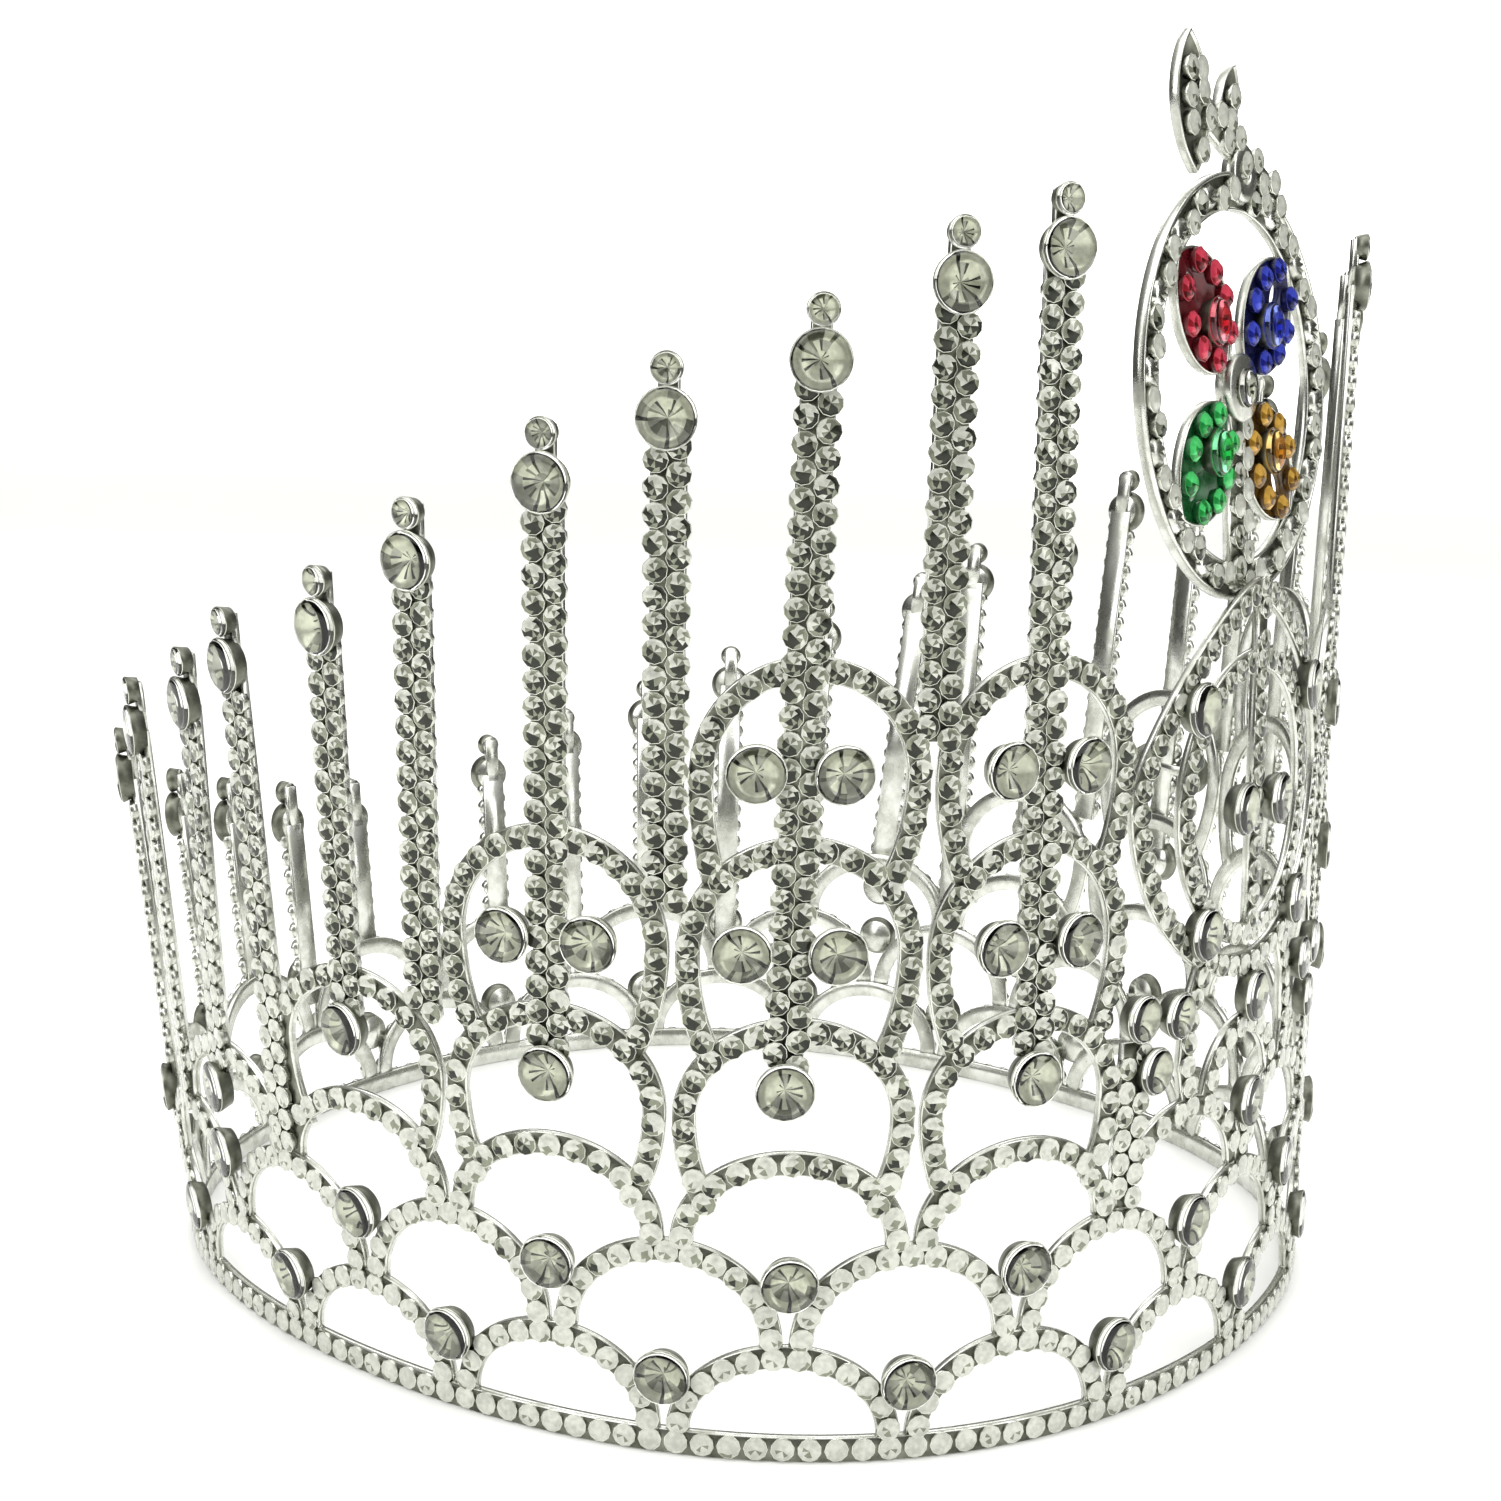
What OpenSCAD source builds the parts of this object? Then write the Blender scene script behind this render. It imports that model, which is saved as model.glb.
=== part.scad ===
// Full-round jewelled crown: a head band, rows of soldered arches and hoops, tall posts and a framed front ornament.
// The crown stands on its band. +Z is up, the front ornament faces -Y, and the origin is on the floor at the middle.
// A place on the crown is given as [column, height]: one column is one eighteenth of a turn, and column 0 is the front.

/* [Crown shell] */
// Mean radius of the crown's outer face at the floor
base_r = 80; // [74:1:88]
// How much longer the plan is from front to back than from side to side, as a share of the radius
plan_oval = 0.019; // [0:0.001:0.03]
// How much the plan bulges on the diagonals, as a share of the radius
plan_square = 0.018; // [0:0.001:0.02]
// Mean outward flare, in millimetres for each millimetre of height
flare = 0.070; // [0:0.005:0.1]
// How much less the front flares than the back
flare_front = 0.074; // [0:0.002:0.08]
// How much more the sides flare than the front and back
flare_side = 0.024; // [0:0.002:0.03]

/* [Metal strips] */
// Width of a strip that carries one row of small stones
strip_w = 3.3; // [2.6:0.1:3.6]
// Depth of a strip with its row of small stones
strip_d = 2.2; // [1.6:0.1:2.6]
// Distance of a strip's middle from the line where it meets the next hoop
strip_inset = 1.72; // [1.7:0.01:1.8]
// Width of an upright post
post_w = 5; // [4:0.1:6]
// Height of the head band
band_h = 3.3; // [3:0.1:5]

/* [Rows of arches] */
// Height of the tops of the first row of arches
arch_1_top = 13; // [11:0.5:14]
// Height of the tops of the second row of arches
arch_2_top = 25.3; // [24:0.1:27]
// Height of the tops of the third row of arches
arch_3_top = 36.5; // [35:0.5:38]
// Last column that carries an arch of the third row
arch_3_last = 5.5; // [2.5:1:8.5]

/* [Rows of hoops] */
// Where a hoop stands on the shoulders of the one below, as a share of a column
hoop_foot = 0.34; // [0.3:0.01:0.38]

/* [Stones] */
// Width of a large stone
large_stone = 6.8; // [6:0.1:7.2]
// Width of the stone on the tip of a post
tip_stone = 3.7; // [3:0.1:4]
// Width of a trefoil stone
trefoil_stone = 6; // [5:0.1:6.2]
// Width of the clear stone in the middle of the ornament
centre_stone = 5; // [4:0.1:5.4]
// Width of the large coloured stone of a petal
petal_stone = 6; // [5:0.1:6.2]
// Width of a small coloured stone on a petal's rim
rim_stone = 3; // [2.6:0.1:3.2]
// Gap between a stone and the metal that it is set on
seat_gap = 0.3; // [0.25:0.01:0.4]

/* [Front ornament] */
// Height of the foot of the ornament above the floor
ornament_z = 100; // [98:0.5:101]
// Outer radius of its ring
ornament_r = 26; // [24:0.5:27]
// How far the ornament leans back, in degrees
ornament_lean = 5; // [0:0.5:6]
// Depth of the ornament's metal
ornament_d = 2.2; // [1.8:0.1:2.6]

/* [Hidden] */

columns = 18;
column_deg = 360 / columns;
last_column = columns / 2;
column_mm = base_r * PI * column_deg / 180;

// Straight steps in the curves of the metal strips, and in the round parts of the ornament.
band_steps = 36;
arch_steps = 5;
front_arch_steps = 6;
loop_steps = 16;
ring_steps = 12;
small_round_steps = 48;
large_round_steps = 96;

// The feet of the arches reach this far into the strip that they stand on.
foot_sink = 0.3;

// A small part of a column, for directions along the shell.
column_bit = 0.01;

// Two path ends nearer than this are the same place.
same_place = 0.001;

// Cuts go this far past the faces that they open.
cut_past = 1;

// Hoops: half-integer columns from the front on each side. Each row is
// [height where neighbours touch, height of the top, height of the feet, last column].
hoop_rows = [
    [41.6, 52.2, 31.0, 4.5],
    [60.6, 73.0, 48.6, 3.5],
    [81.0, 93.0, 68.8, 2.5]
];

// Posts on each side: [column, height of its large stone, height of its foot, column of its foot].
post_table = [
    [1.55, 138.5, 48.0, 1.5],
    [2.0, 134.3, 85.0, 2.0],
    [2.51, 125.8, 48.0, 2.545],
    [3.05, 119.3, 66.5, 3.03],
    [3.5, 112.1, 48.0, 3.5],
    [4.04, 102.8, 50.0, 4.08],
    [4.48, 94.4, 48.0, 4.5],
    [5.03, 88.2, 28.0, 5.0],
    [5.36, 82.3, 32.5, 5.5],
    [5.95, 76.2, 25.3, 6.0],
    [6.5, 66.8, 18.5, 6.5],
    [7.0, 60.5, 25.3, 7.0],
    [7.5, 55.5, 18.5, 7.5],
    [8.0, 51.5, 25.3, 8.0],
    [8.5, 48.5, 18.5, 8.5],
    [9.0, 47.0, 25.3, 9.0]
];

// The tip stone stands this far above the large stone, and the post ends this far above the tip stone's middle.
tip_rise = 5.2;
post_end = 1;

// Straight bars stand this far out from the strips that they cross. The stones are seated clear of the bars.
bar_proud = 0.2;

// Pendants at the lower ends of the column posts: [column, height].
pendant_table = [
    [1.5, 45.5],
    [2.545, 45.5],
    [3.5, 45.5],
    [4.5, 46.0],
    [5.5, 31.5]
];

// Pairs of large stones beside a post: [column, height, distance of each stone from the post's middle].
pair_table = [
    [1.5, 81.6, 5.2],
    [2.53, 81.6, 4.8],
    [1.5, 61.3, 5.3],
    [2.545, 61.3, 5.3],
    [3.5, 61.3, 5.2]
];
pair_bar_w = 2.4;

// Half the length of the bar that carries the two stones inside the ring of the front.
front_bar_reach = 5.3;

// Heights of the stones in the valleys of the first and second row of arches.
valley_1_z = 10.2;
valley_2_z = 22.5;

// The front: a large pointed loop, a ring inside it and an upright, all centred on column 0.
loop_z = 76.5;
loop_w = 26.6;
loop_rise = 23.5;
loop_drop = 24;
loop_point = 1.4;
ring_z = 73.8;
ring_r = 17.4;

// Large stones of the front, right half: [distance from the centre line, height].
front_table = [
    [16.6, 86.4],
    [13.6, 58.6],
    [5.3, 73.1],
    [0, 48.4],
    [0, 34.6]
];

// Front, right half, in millimetres from the centre line: steps [x, z] of the strip that runs from the loop
// down to the third row.
front_drop = [
    [11, 55.4],
    [14.4, 49],
    [15, 42],
    [13.6, 36.2]
];

// Upright bars on the centre line below the loop: [height of the foot, height of the top].
front_uprights = [
    [46.5, 52.5],
    [25.3, 36]
];

// The small arch on the centre line: half its width, the height of its feet and the height of its top.
front_arch_half = 9.6;
front_arch_foot = 35.6;
front_arch_top = 44.6;

// Straight bars of the front, right half: [x, z, x, z, width].
front_bars = [
    [13.4, 83.9, 19.6, 88.6, 2.4],
    [11.3, 61.2, 15.4, 56.4, 2.4],
    [26.6, 28, 25.6, 47, 5],
    [27.5, 49.6, 14.4, 49, 2.4]
];

// Trefoil stones, right half: [distance from the centre line, height].
trefoil_table = [
    [25.6, 50.2],
    [18.6, 49.4],
    [22.8, 43.3]
];

// The front ornament, in its own plane: x to the right, y up from its foot.
petal_len = 18.8;
petal_w = 13;
petal_start = 3.4;
petal_stone_at = 7.6;
petal_hole_gap = 0.4;
petal_hole_len = 4.6;
petal_hole_w = 2.6;
rim_steps = [0.12, 0.37, 0.63, 0.88];
rim_margin = 1.8;
ring_band = 4.6;
centre_boss = 4.2;
stem_w = 5.4;
stalk_from = [-10, 59.6];
stalk_to = [12.5, 49.6];
stalk_w = 4;
curl_at = [1.6, 51.8];
curl_r = 3.4;
curl_hole_r = 1.2;

// Leaves of the sprig: [x, y, turn in degrees, length, width].
leaf_table = [
    [-10.5, 51, 94, 16.6, 8.6],
    [-3, 55.4, 70, 10, 4.8]
];

RED_AT = 135;
BLUE_AT = 45;
GREEN_AT = 225;
AMBER_AT = 315;
PETAL_ANGLES = [RED_AT, BLUE_AT, GREEN_AT, AMBER_AT];
SIDES = [-1, 1];

// A cut stone: its number of crown facets, and the width of its table and its height as shares of its width.
STONE_FACETS = 8;
TABLE_SHARE = 0.6;
CROWN_SHARE = 0.26;

// How far the shell's outer face leans outwards at column m, in millimetres for each millimetre of height.
function shell_slope(m) =
    let (a = m * column_deg)
    flare - flare_front * cos(a) - flare_side * cos(2 * a);

// Horizontal distance of the shell's outer face from the axis, at column m and height z.
function shell_r(m, z) =
    let (a = m * column_deg)
    base_r * (1 + plan_oval * cos(2 * a) - plan_square * cos(4 * a)) + z * shell_slope(m);

// Point on the shell's outer face at column m and height z, moved outwards by out.
function on_shell(m, z, out = 0) =
    let (a = m * column_deg, r = shell_r(m, z) + out)
    [r * sin(a), -r * cos(a), z];

// A place of the front given in millimetres from the centre line, as [column, height].
function in_column(q) = [q[0] / column_mm, q[1]];

function unit(v) = v / norm(v);
function outward(m) = [sin(m * column_deg), -cos(m * column_deg), 0];

// The way up along the shell at column m.
function up_shell(m) = unit([0, 0, 1] + outward(m) * shell_slope(m));

// The level way towards the next column: along the face of a post, or along the shell.
function across(q, on_post) =
    on_post
        ? [-outward(q[0])[1], outward(q[0])[0], 0]
        : unit(on_shell(q[0] + column_bit, q[1]) - on_shell(q[0] - column_bit, q[1]));

// Width of one column at height z, and the half-width of a hoop that meets its neighbours there.
function column_w(m, z) = shell_r(m, z) * PI * column_deg / 180;
function hoop_half(m, z) = 0.5 - strip_inset / column_w(m, z);

// Path of a half-round arch over column m, from foot to foot.
function arch_path(m, foot, top) = [
    for (i = [0:arch_steps])
        let (a = 180 * i / arch_steps)
        [m - hoop_half(m, foot) * cos(a), foot + (top - foot) * sin(a)]
];

// Path of a horseshoe hoop over column m: it is widest at the height touch and closes in to its feet.
function hoop_path(m, touch, top, foot) =
    let (
        half = hoop_half(m, touch),
        under = acos(hoop_foot / half),
        drop = (touch - foot) / sin(under)
    )
    [
        for (a = concat([-under], [for (i = [0:arch_steps]) 180 * i / arch_steps], [180 + under]))
            [m - half * cos(a), touch + (a < 0 || a > 180 ? drop : top - touch) * sin(a)]
    ];

// Path of the large pointed loop of the front: an ellipse below, a pointed curve above.
function loop_path() = [
    for (i = [0:loop_steps])
        let (
            a = 360 * i / loop_steps - 90,
            s = sin(a),
            c = cos(a),
            reach = s > 0 ? pow(pow(abs(c), loop_point) + pow(s, loop_point), -1 / loop_point) : 1
        )
        [loop_w * reach * c / column_mm, loop_z + (s > 0 ? loop_rise : loop_drop) * reach * s]
];

// Path of the ring inside the loop.
function ring_path() = [
    for (i = [0:ring_steps])
        let (a = 360 * i / ring_steps)
        [ring_r * sin(a) / column_mm, ring_z + ring_r * cos(a)]
];

// Path of the small arch on the centre line.
function front_arch_path() = [
    for (i = [0:front_arch_steps])
        let (a = 180 * i / front_arch_steps)
        in_column([
            -front_arch_half * cos(a),
            front_arch_foot + (front_arch_top - front_arch_foot) * sin(a)
        ])
];

// Four corners of the cross-section, w wide, at step i of a path. It stands proud of the shell by the last value.
function section(path, i, w, proud) =
    let (
        last = len(path) - 1,
        here = path[i],
        before = path[max(i - 1, 0)],
        after = path[min(i + 1, last)],
        closed = norm(path[last] - path[0]) < same_place,
        from = closed && i == 0 ? path[last - 1] : before,
        to = closed && i == last ? path[1] : after,
        along = unit(on_shell(to[0], to[1]) - on_shell(from[0], from[1])),
        out = outward(here[0]),
        side = unit(cross(along, out)) * w / 2,
        p = on_shell(here[0], here[1], -strip_d - proud),
        q = on_shell(here[0], here[1], proud)
    )
    [p - side, p + side, q + side, q - side];

// Two triangles between corner k and the next corner of the sections that start at points a and b.
function side_faces(a, b, k) =
    let (n = (k + 1) % 4)
    [[a + k, a + n, b + n], [a + k, b + n, b + k]];

// A curved strip that follows a path of [column, height] steps on the shell. A closed path ends where it starts.
module strip(path, closed = false) {
    count = len(path) - (closed ? 1 : 0);
    last = 4 * (count - 1);
    polyhedron(
        points = [
            for (i = [0:count - 1])
                for (p = section(path, i, strip_w, 0))
                    p
        ],
        faces = concat(
            closed ? [] : [[3, 2, 1, 0], [last, last + 1, last + 2, last + 3]],
            [
                for (i = [0:count - (closed ? 1 : 2)])
                    for (k = [0:3])
                        for (f = side_faces(4 * i, 4 * ((i + 1) % count), k))
                            f
            ]
        )
    );
}

// A straight bar between two [column, height] places, a little thicker than the strips that it crosses.
module bar(from, to, w) {
    path = [from, to];
    hull()
        polyhedron(
            points = concat(
                section(path, 0, w, bar_proud),
                section(path, 1, w, bar_proud)
            ),
            faces = [[0, 1, 2, 3], [7, 6, 5, 4], [0, 4, 5, 1], [1, 5, 6, 2], [2, 6, 7, 3], [3, 7, 4, 0]]
        );
}

// Columns of one kind on both sides of the front, from the first up to the last one.
function both_sides(first, last) = [for (m = [first:1:last]) for (s = SIDES) s * m];

// Outline of the band in plan, moved outwards by out.
function band_outline(out) = [
    for (i = [0:band_steps - 1])
        let (p = on_shell(i * columns / band_steps, 0, out))
        [p[0], p[1]]
];

module band() {
    linear_extrude(height = band_h)
        difference() {
            polygon(band_outline(0));
            polygon(band_outline(-strip_d));
        }
}

module arches() {
    for (m = both_sides(0.5, last_column - 0.5))
        strip(arch_path(m, band_h - foot_sink, arch_1_top));
    for (i = [0:columns - 1])
        strip(arch_path(i - last_column, arch_1_top + strip_w / 2 - foot_sink, arch_2_top));
    for (m = both_sides(0.5, arch_3_last))
        strip(arch_path(m, arch_2_top + strip_w / 2 - foot_sink, arch_3_top));
}

module hoops() {
    for (row = hoop_rows)
        for (m = both_sides(1.5, row[3]))
            strip(hoop_path(m, row[0], row[1], row[2]));
}

// Distance of the stones of a pair from their post's middle, in columns.
function pair_reach(row) = row[2] / column_w(row[0], row[1]);

// Height of a post's upper end, and the column of its middle at height z.
function post_top(row) = row[1] + tip_rise + post_end;
function post_column(row, z) = row[3] + (row[0] - row[3]) * (z - row[2]) / (post_top(row) - row[2]);

module posts() {
    for (row = post_table)
        for (s = row[0] == last_column ? [1] : SIDES)
            bar([s * row[3], row[2]], [s * row[0], post_top(row)], post_w);
    for (row = pair_table)
        for (s = SIDES)
            bar([s * row[0] - pair_reach(row), row[1]], [s * row[0] + pair_reach(row), row[1]], pair_bar_w);
}

module front_lattice() {
    strip(loop_path(), closed = true);
    strip(ring_path(), closed = true);
    strip(front_arch_path());
    bar([0, ring_z - ring_r], [0, loop_z + loop_rise], strip_w);
    bar(in_column([-front_bar_reach, ring_z]), in_column([front_bar_reach, ring_z]), pair_bar_w);
    for (u = front_uprights)
        bar([0, u[0]], [0, u[1]], strip_w);
    for (s = SIDES) {
        strip([for (p = front_drop) in_column([s * p[0], p[1]])]);
        for (b = front_bars)
            bar(in_column([s * b[0], b[1]]), in_column([s * b[2], b[3]]), b[4]);
    }
}

module crown_frame() {
    color("silver")
        union() {
            band();
            arches();
            hoops();
            posts();
            front_lattice();
        }
}

// Corners of a cut stone of width d, in its own frame: girdle, then table.
function stone_rings(d) = [[d / 2, 0], [d / 2 * TABLE_SHARE, d * CROWN_SHARE]];

// Points of the stones at the given [column, height] places, lying along the shell or a post, clear of the bars.
function shell_stone_points(places, d, on_post) = [
    for (q = places)
        let (
            t = up_shell(q[0]),
            n = unit(cross(across(q, on_post), t)),
            u = cross(t, n),
            p = on_shell(q[0], q[1]) + n * (bar_proud + seat_gap)
        )
        for (r = stone_rings(d))
            for (i = [0:STONE_FACETS - 1])
                let (a = 360 * (i + 0.5) / STONE_FACETS)
                p + u * r[0] * cos(a) + t * r[0] * sin(a) + n * r[1]
];

// Faces of a number of stones, one closed shell each.
function stone_faces(count) = [
    for (k = [0:count - 1])
        let (b = k * 2 * STONE_FACETS, n = STONE_FACETS)
        for (f = concat(
            [[for (i = [0:n - 1]) b + i]],
            [[for (i = [n - 1:-1:0]) b + n + i]],
            [for (i = [0:n - 1]) [b + i, b + n + i, b + n + (i + 1) % n, b + (i + 1) % n]]
        )) f
];

// One node of cut stones set on the shell.
module shell_stones(places, d, on_post = false) {
    polyhedron(points = shell_stone_points(places, d, on_post), faces = stone_faces(len(places)));
}

function mirrored(table) = [
    for (q = table)
        for (s = q[0] == 0 ? [1] : SIDES)
            [s * q[0], q[1]]
];
function post_places(rise) = [
    for (row = post_table)
        for (s = row[0] == last_column ? [1] : SIDES)
            [s * post_column(row, row[1] + rise), row[1] + rise]
];
function in_columns(places) = [for (q = places) in_column(q)];

module row_1_stones() {
    color("whitesmoke")
        shell_stones([for (i = [0:columns - 1]) [i - last_column, valley_1_z]], large_stone);
}

module row_2_stones() {
    color("whitesmoke")
        shell_stones([for (i = [0:columns - 1]) [i - last_column + 0.5, valley_2_z]], large_stone, true);
}

module hoop_pair_stones() {
    color("whitesmoke")
        shell_stones(
            [
                for (row = pair_table)
                    for (side = SIDES)
                        for (s = SIDES)
                            [side * row[0] + s * pair_reach(row), row[1]]
            ],
            large_stone
        );
}

module pendant_stones() {
    color("whitesmoke")
        shell_stones(mirrored(pendant_table), large_stone, true);
}

module post_stones() {
    color("whitesmoke")
        shell_stones(post_places(0), large_stone, true);
}

module post_tip_stones() {
    color("whitesmoke")
        shell_stones(post_places(tip_rise), tip_stone, true);
}

module front_stones() {
    color("whitesmoke")
        shell_stones(in_columns(mirrored(front_table)), large_stone);
}

module trefoil_stones() {
    color("whitesmoke")
        shell_stones(in_columns(mirrored(trefoil_table)), trefoil_stone);
}

// Places the front ornament's plane: its front face lies just behind the top of the front loop.
module in_ornament() {
    translate([0, -shell_r(0, ornament_z) + strip_d + bar_proud + seat_gap, ornament_z - strip_w / 2])
        rotate([90 - ornament_lean, 0, 0])
            translate([0, 0, -ornament_d])
                children();
}

// A pointed oval of length len and width w along +X, starting at the origin.
module pointed_oval(len, w) {
    r = (len * len + w * w) / (4 * w);
    translate([len / 2, 0])
        intersection() {
            translate([0, r - w / 2])
                circle(r = r, $fn = large_round_steps);
            translate([0, w / 2 - r])
                circle(r = r, $fn = large_round_steps);
        }
}

// Half the width of a pointed oval at the distance x from its start.
function oval_half(len, w, x) =
    let (r = (len * len + w * w) / (4 * w))
    sqrt(r * r - pow(x - len / 2, 2)) - (r - w / 2);

module plate(from, to, w) {
    run = to - from;
    translate([from[0], from[1], 0])
        rotate([0, 0, atan2(run[1], run[0])])
            translate([0, -w / 2, 0])
                cube([norm(run), w, ornament_d]);
}

module petal() {
    difference() {
        linear_extrude(height = ornament_d)
            translate([petal_start, 0])
                pointed_oval(petal_len, petal_w);
        translate([petal_start + petal_stone_at + petal_stone / 2 + petal_hole_gap, 0, -cut_past])
            linear_extrude(height = ornament_d + 2 * cut_past)
                pointed_oval(petal_hole_len, petal_hole_w);
    }
}

module ornament_ring() {
    difference() {
        cylinder(r = ornament_r, h = ornament_d, $fn = large_round_steps);
        translate([0, 0, -cut_past])
            cylinder(r = ornament_r - ring_band, h = ornament_d + 2 * cut_past, $fn = large_round_steps);
    }
}

// The sprig on top of the ornament's ring: two leaves, a slanting stalk and a curl under it.
module sprig() {
    for (leaf = leaf_table)
        translate([leaf[0], leaf[1], 0])
            rotate([0, 0, leaf[2]])
                linear_extrude(height = ornament_d)
                    pointed_oval(leaf[3], leaf[4]);
    plate(stalk_from, stalk_to, stalk_w);
    translate([curl_at[0], curl_at[1], 0])
        difference() {
            cylinder(r = curl_r, h = ornament_d, $fn = small_round_steps);
            translate([0, 0, -cut_past])
                cylinder(r = curl_hole_r, h = ornament_d + 2 * cut_past, $fn = small_round_steps);
        }
}

module ornament_frame() {
    color("silver")
        in_ornament()
            union() {
                translate([0, ornament_r, 0]) {
                    ornament_ring();
                    cylinder(r = centre_boss, h = ornament_d, $fn = small_round_steps);
                    for (a = PETAL_ANGLES)
                        rotate([0, 0, a])
                            petal();
                    plate([0, 0], [0, ring_band / 2 - ornament_r], stem_w);
                }
                sprig();
            }
}

// One node of cut stones set on the ornament at [x, y] places.
module ornament_stones(places, d) {
    in_ornament()
        polyhedron(
            points = [
                for (q = places)
                    for (r = stone_rings(d))
                        for (i = [0:STONE_FACETS - 1])
                            let (a = 360 * (i + 0.5) / STONE_FACETS)
                            [q[0] + r[0] * cos(a), q[1] + r[0] * sin(a), ornament_d + seat_gap + r[1]]
            ],
            faces = stone_faces(len(places))
        );
}

// A place on a petal, turned with it about the middle of the ring.
function on_petal(a, x, y) = [x * cos(a) - y * sin(a), ornament_r + x * sin(a) + y * cos(a)];

module rim_stones(a) {
    len = petal_len - 2 * rim_margin;
    w = petal_w - 2 * rim_margin;
    ornament_stones(
        [
            for (k = rim_steps)
                for (s = SIDES)
                    on_petal(a, petal_start + rim_margin + k * len, s * oval_half(len, w, k * len))
        ],
        rim_stone
    );
}

module petal_middle_stone(a) {
    ornament_stones([on_petal(a, petal_start + petal_stone_at, 0)], petal_stone);
}

module red_petal_stones() {
    color("crimson")
        rim_stones(RED_AT);
}

module blue_petal_stones() {
    color("mediumblue")
        rim_stones(BLUE_AT);
}

module green_petal_stones() {
    color("limegreen")
        rim_stones(GREEN_AT);
}

module amber_petal_stones() {
    color("darkgoldenrod")
        rim_stones(AMBER_AT);
}

module red_stone() {
    color("crimson")
        petal_middle_stone(RED_AT);
}

module blue_stone() {
    color("mediumblue")
        petal_middle_stone(BLUE_AT);
}

module green_stone() {
    color("limegreen")
        petal_middle_stone(GREEN_AT);
}

module amber_stone() {
    color("darkgoldenrod")
        petal_middle_stone(AMBER_AT);
}

module ornament_centre_stone() {
    color("whitesmoke")
        ornament_stones([[0, ornament_r]], centre_stone);
}

crown_frame();
ornament_frame();
row_1_stones();
row_2_stones();
hoop_pair_stones();
pendant_stones();
post_stones();
post_tip_stones();
front_stones();
trefoil_stones();
red_petal_stones();
blue_petal_stones();
green_petal_stones();
amber_petal_stones();
red_stone();
blue_stone();
green_stone();
amber_stone();
ornament_centre_stone();
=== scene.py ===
"""Studio scene of a full-round jewelled crown: strips of small cup-set stones, large stones and a front ornament."""

import logging
import math
from dataclasses import dataclass, field
from enum import Enum, IntEnum
from typing import Any, Sequence

import bpy
import numpy as np
from mathutils import Matrix, Vector
from numpy.typing import NDArray


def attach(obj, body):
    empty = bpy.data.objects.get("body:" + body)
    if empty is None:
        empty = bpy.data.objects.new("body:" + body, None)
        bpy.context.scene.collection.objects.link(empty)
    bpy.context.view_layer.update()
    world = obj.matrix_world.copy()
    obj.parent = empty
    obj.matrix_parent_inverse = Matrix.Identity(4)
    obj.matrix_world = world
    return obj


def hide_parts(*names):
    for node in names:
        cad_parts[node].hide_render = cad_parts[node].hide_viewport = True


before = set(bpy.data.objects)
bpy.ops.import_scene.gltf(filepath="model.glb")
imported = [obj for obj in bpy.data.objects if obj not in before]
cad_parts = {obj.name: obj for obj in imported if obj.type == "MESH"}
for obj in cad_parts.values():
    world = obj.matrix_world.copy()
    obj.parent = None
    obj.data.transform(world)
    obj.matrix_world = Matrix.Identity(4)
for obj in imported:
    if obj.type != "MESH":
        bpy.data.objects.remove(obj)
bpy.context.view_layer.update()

Floats = NDArray[np.float64]
Ints = NDArray[np.int64]
Colour = tuple[float, float, float, float]

MM = 0.001
UP = np.array([0.0, 0.0, 1.0])
SIDES = (-1.0, 1.0)
BACK = 9.0  # column at the very back, half of the eighteen
# Nearly the camera's azimuth: stones that face it get the darkest painted foil, as painted shade.
PAINTED_SHADE_SIDE = math.radians(-54.0)  # azimuth of the stones that show the darkest foil

logging.basicConfig(level=logging.INFO, format="%(message)s")
log = logging.getLogger("crown")


# Shader helpers


class Sock:
    """A shader socket that takes part in Python arithmetic; each operator adds one Math node."""

    def __init__(self, shader: "Shader", link: bpy.types.NodeSocket) -> None:
        """Keeps the socket and the shader that it belongs to."""
        self.shader = shader
        self.link = link

    def _math(self, operation: str, first: Any, second: Any) -> "Sock":
        """Adds a Math node."""
        return self.shader.add("ShaderNodeMath", {0: first, 1: second}, operation=operation).out("Value")

    def __add__(self, other: Any) -> "Sock":
        """Sum of two values."""
        return self._math("ADD", self, other)

    def __radd__(self, other: Any) -> "Sock":
        """Sum with a number on the left."""
        return self._math("ADD", other, self)

    def __sub__(self, other: Any) -> "Sock":
        """Difference of two values."""
        return self._math("SUBTRACT", self, other)

    def __rsub__(self, other: Any) -> "Sock":
        """Difference with a number on the left."""
        return self._math("SUBTRACT", other, self)

    def __mul__(self, other: Any) -> "Sock":
        """Product of two values."""
        return self._math("MULTIPLY", self, other)

    def __rmul__(self, other: Any) -> "Sock":
        """Product with a number on the left."""
        return self._math("MULTIPLY", other, self)


class NodeOutputs:
    """A made node, which hands out its outputs."""

    def __init__(self, shader: "Shader", node: bpy.types.Node) -> None:
        """Keeps the node."""
        self.shader = shader
        self.node = node

    def out(self, name: str | int) -> Sock:
        """One output of the node."""
        return Sock(self.shader, self.node.outputs[name])


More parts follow.
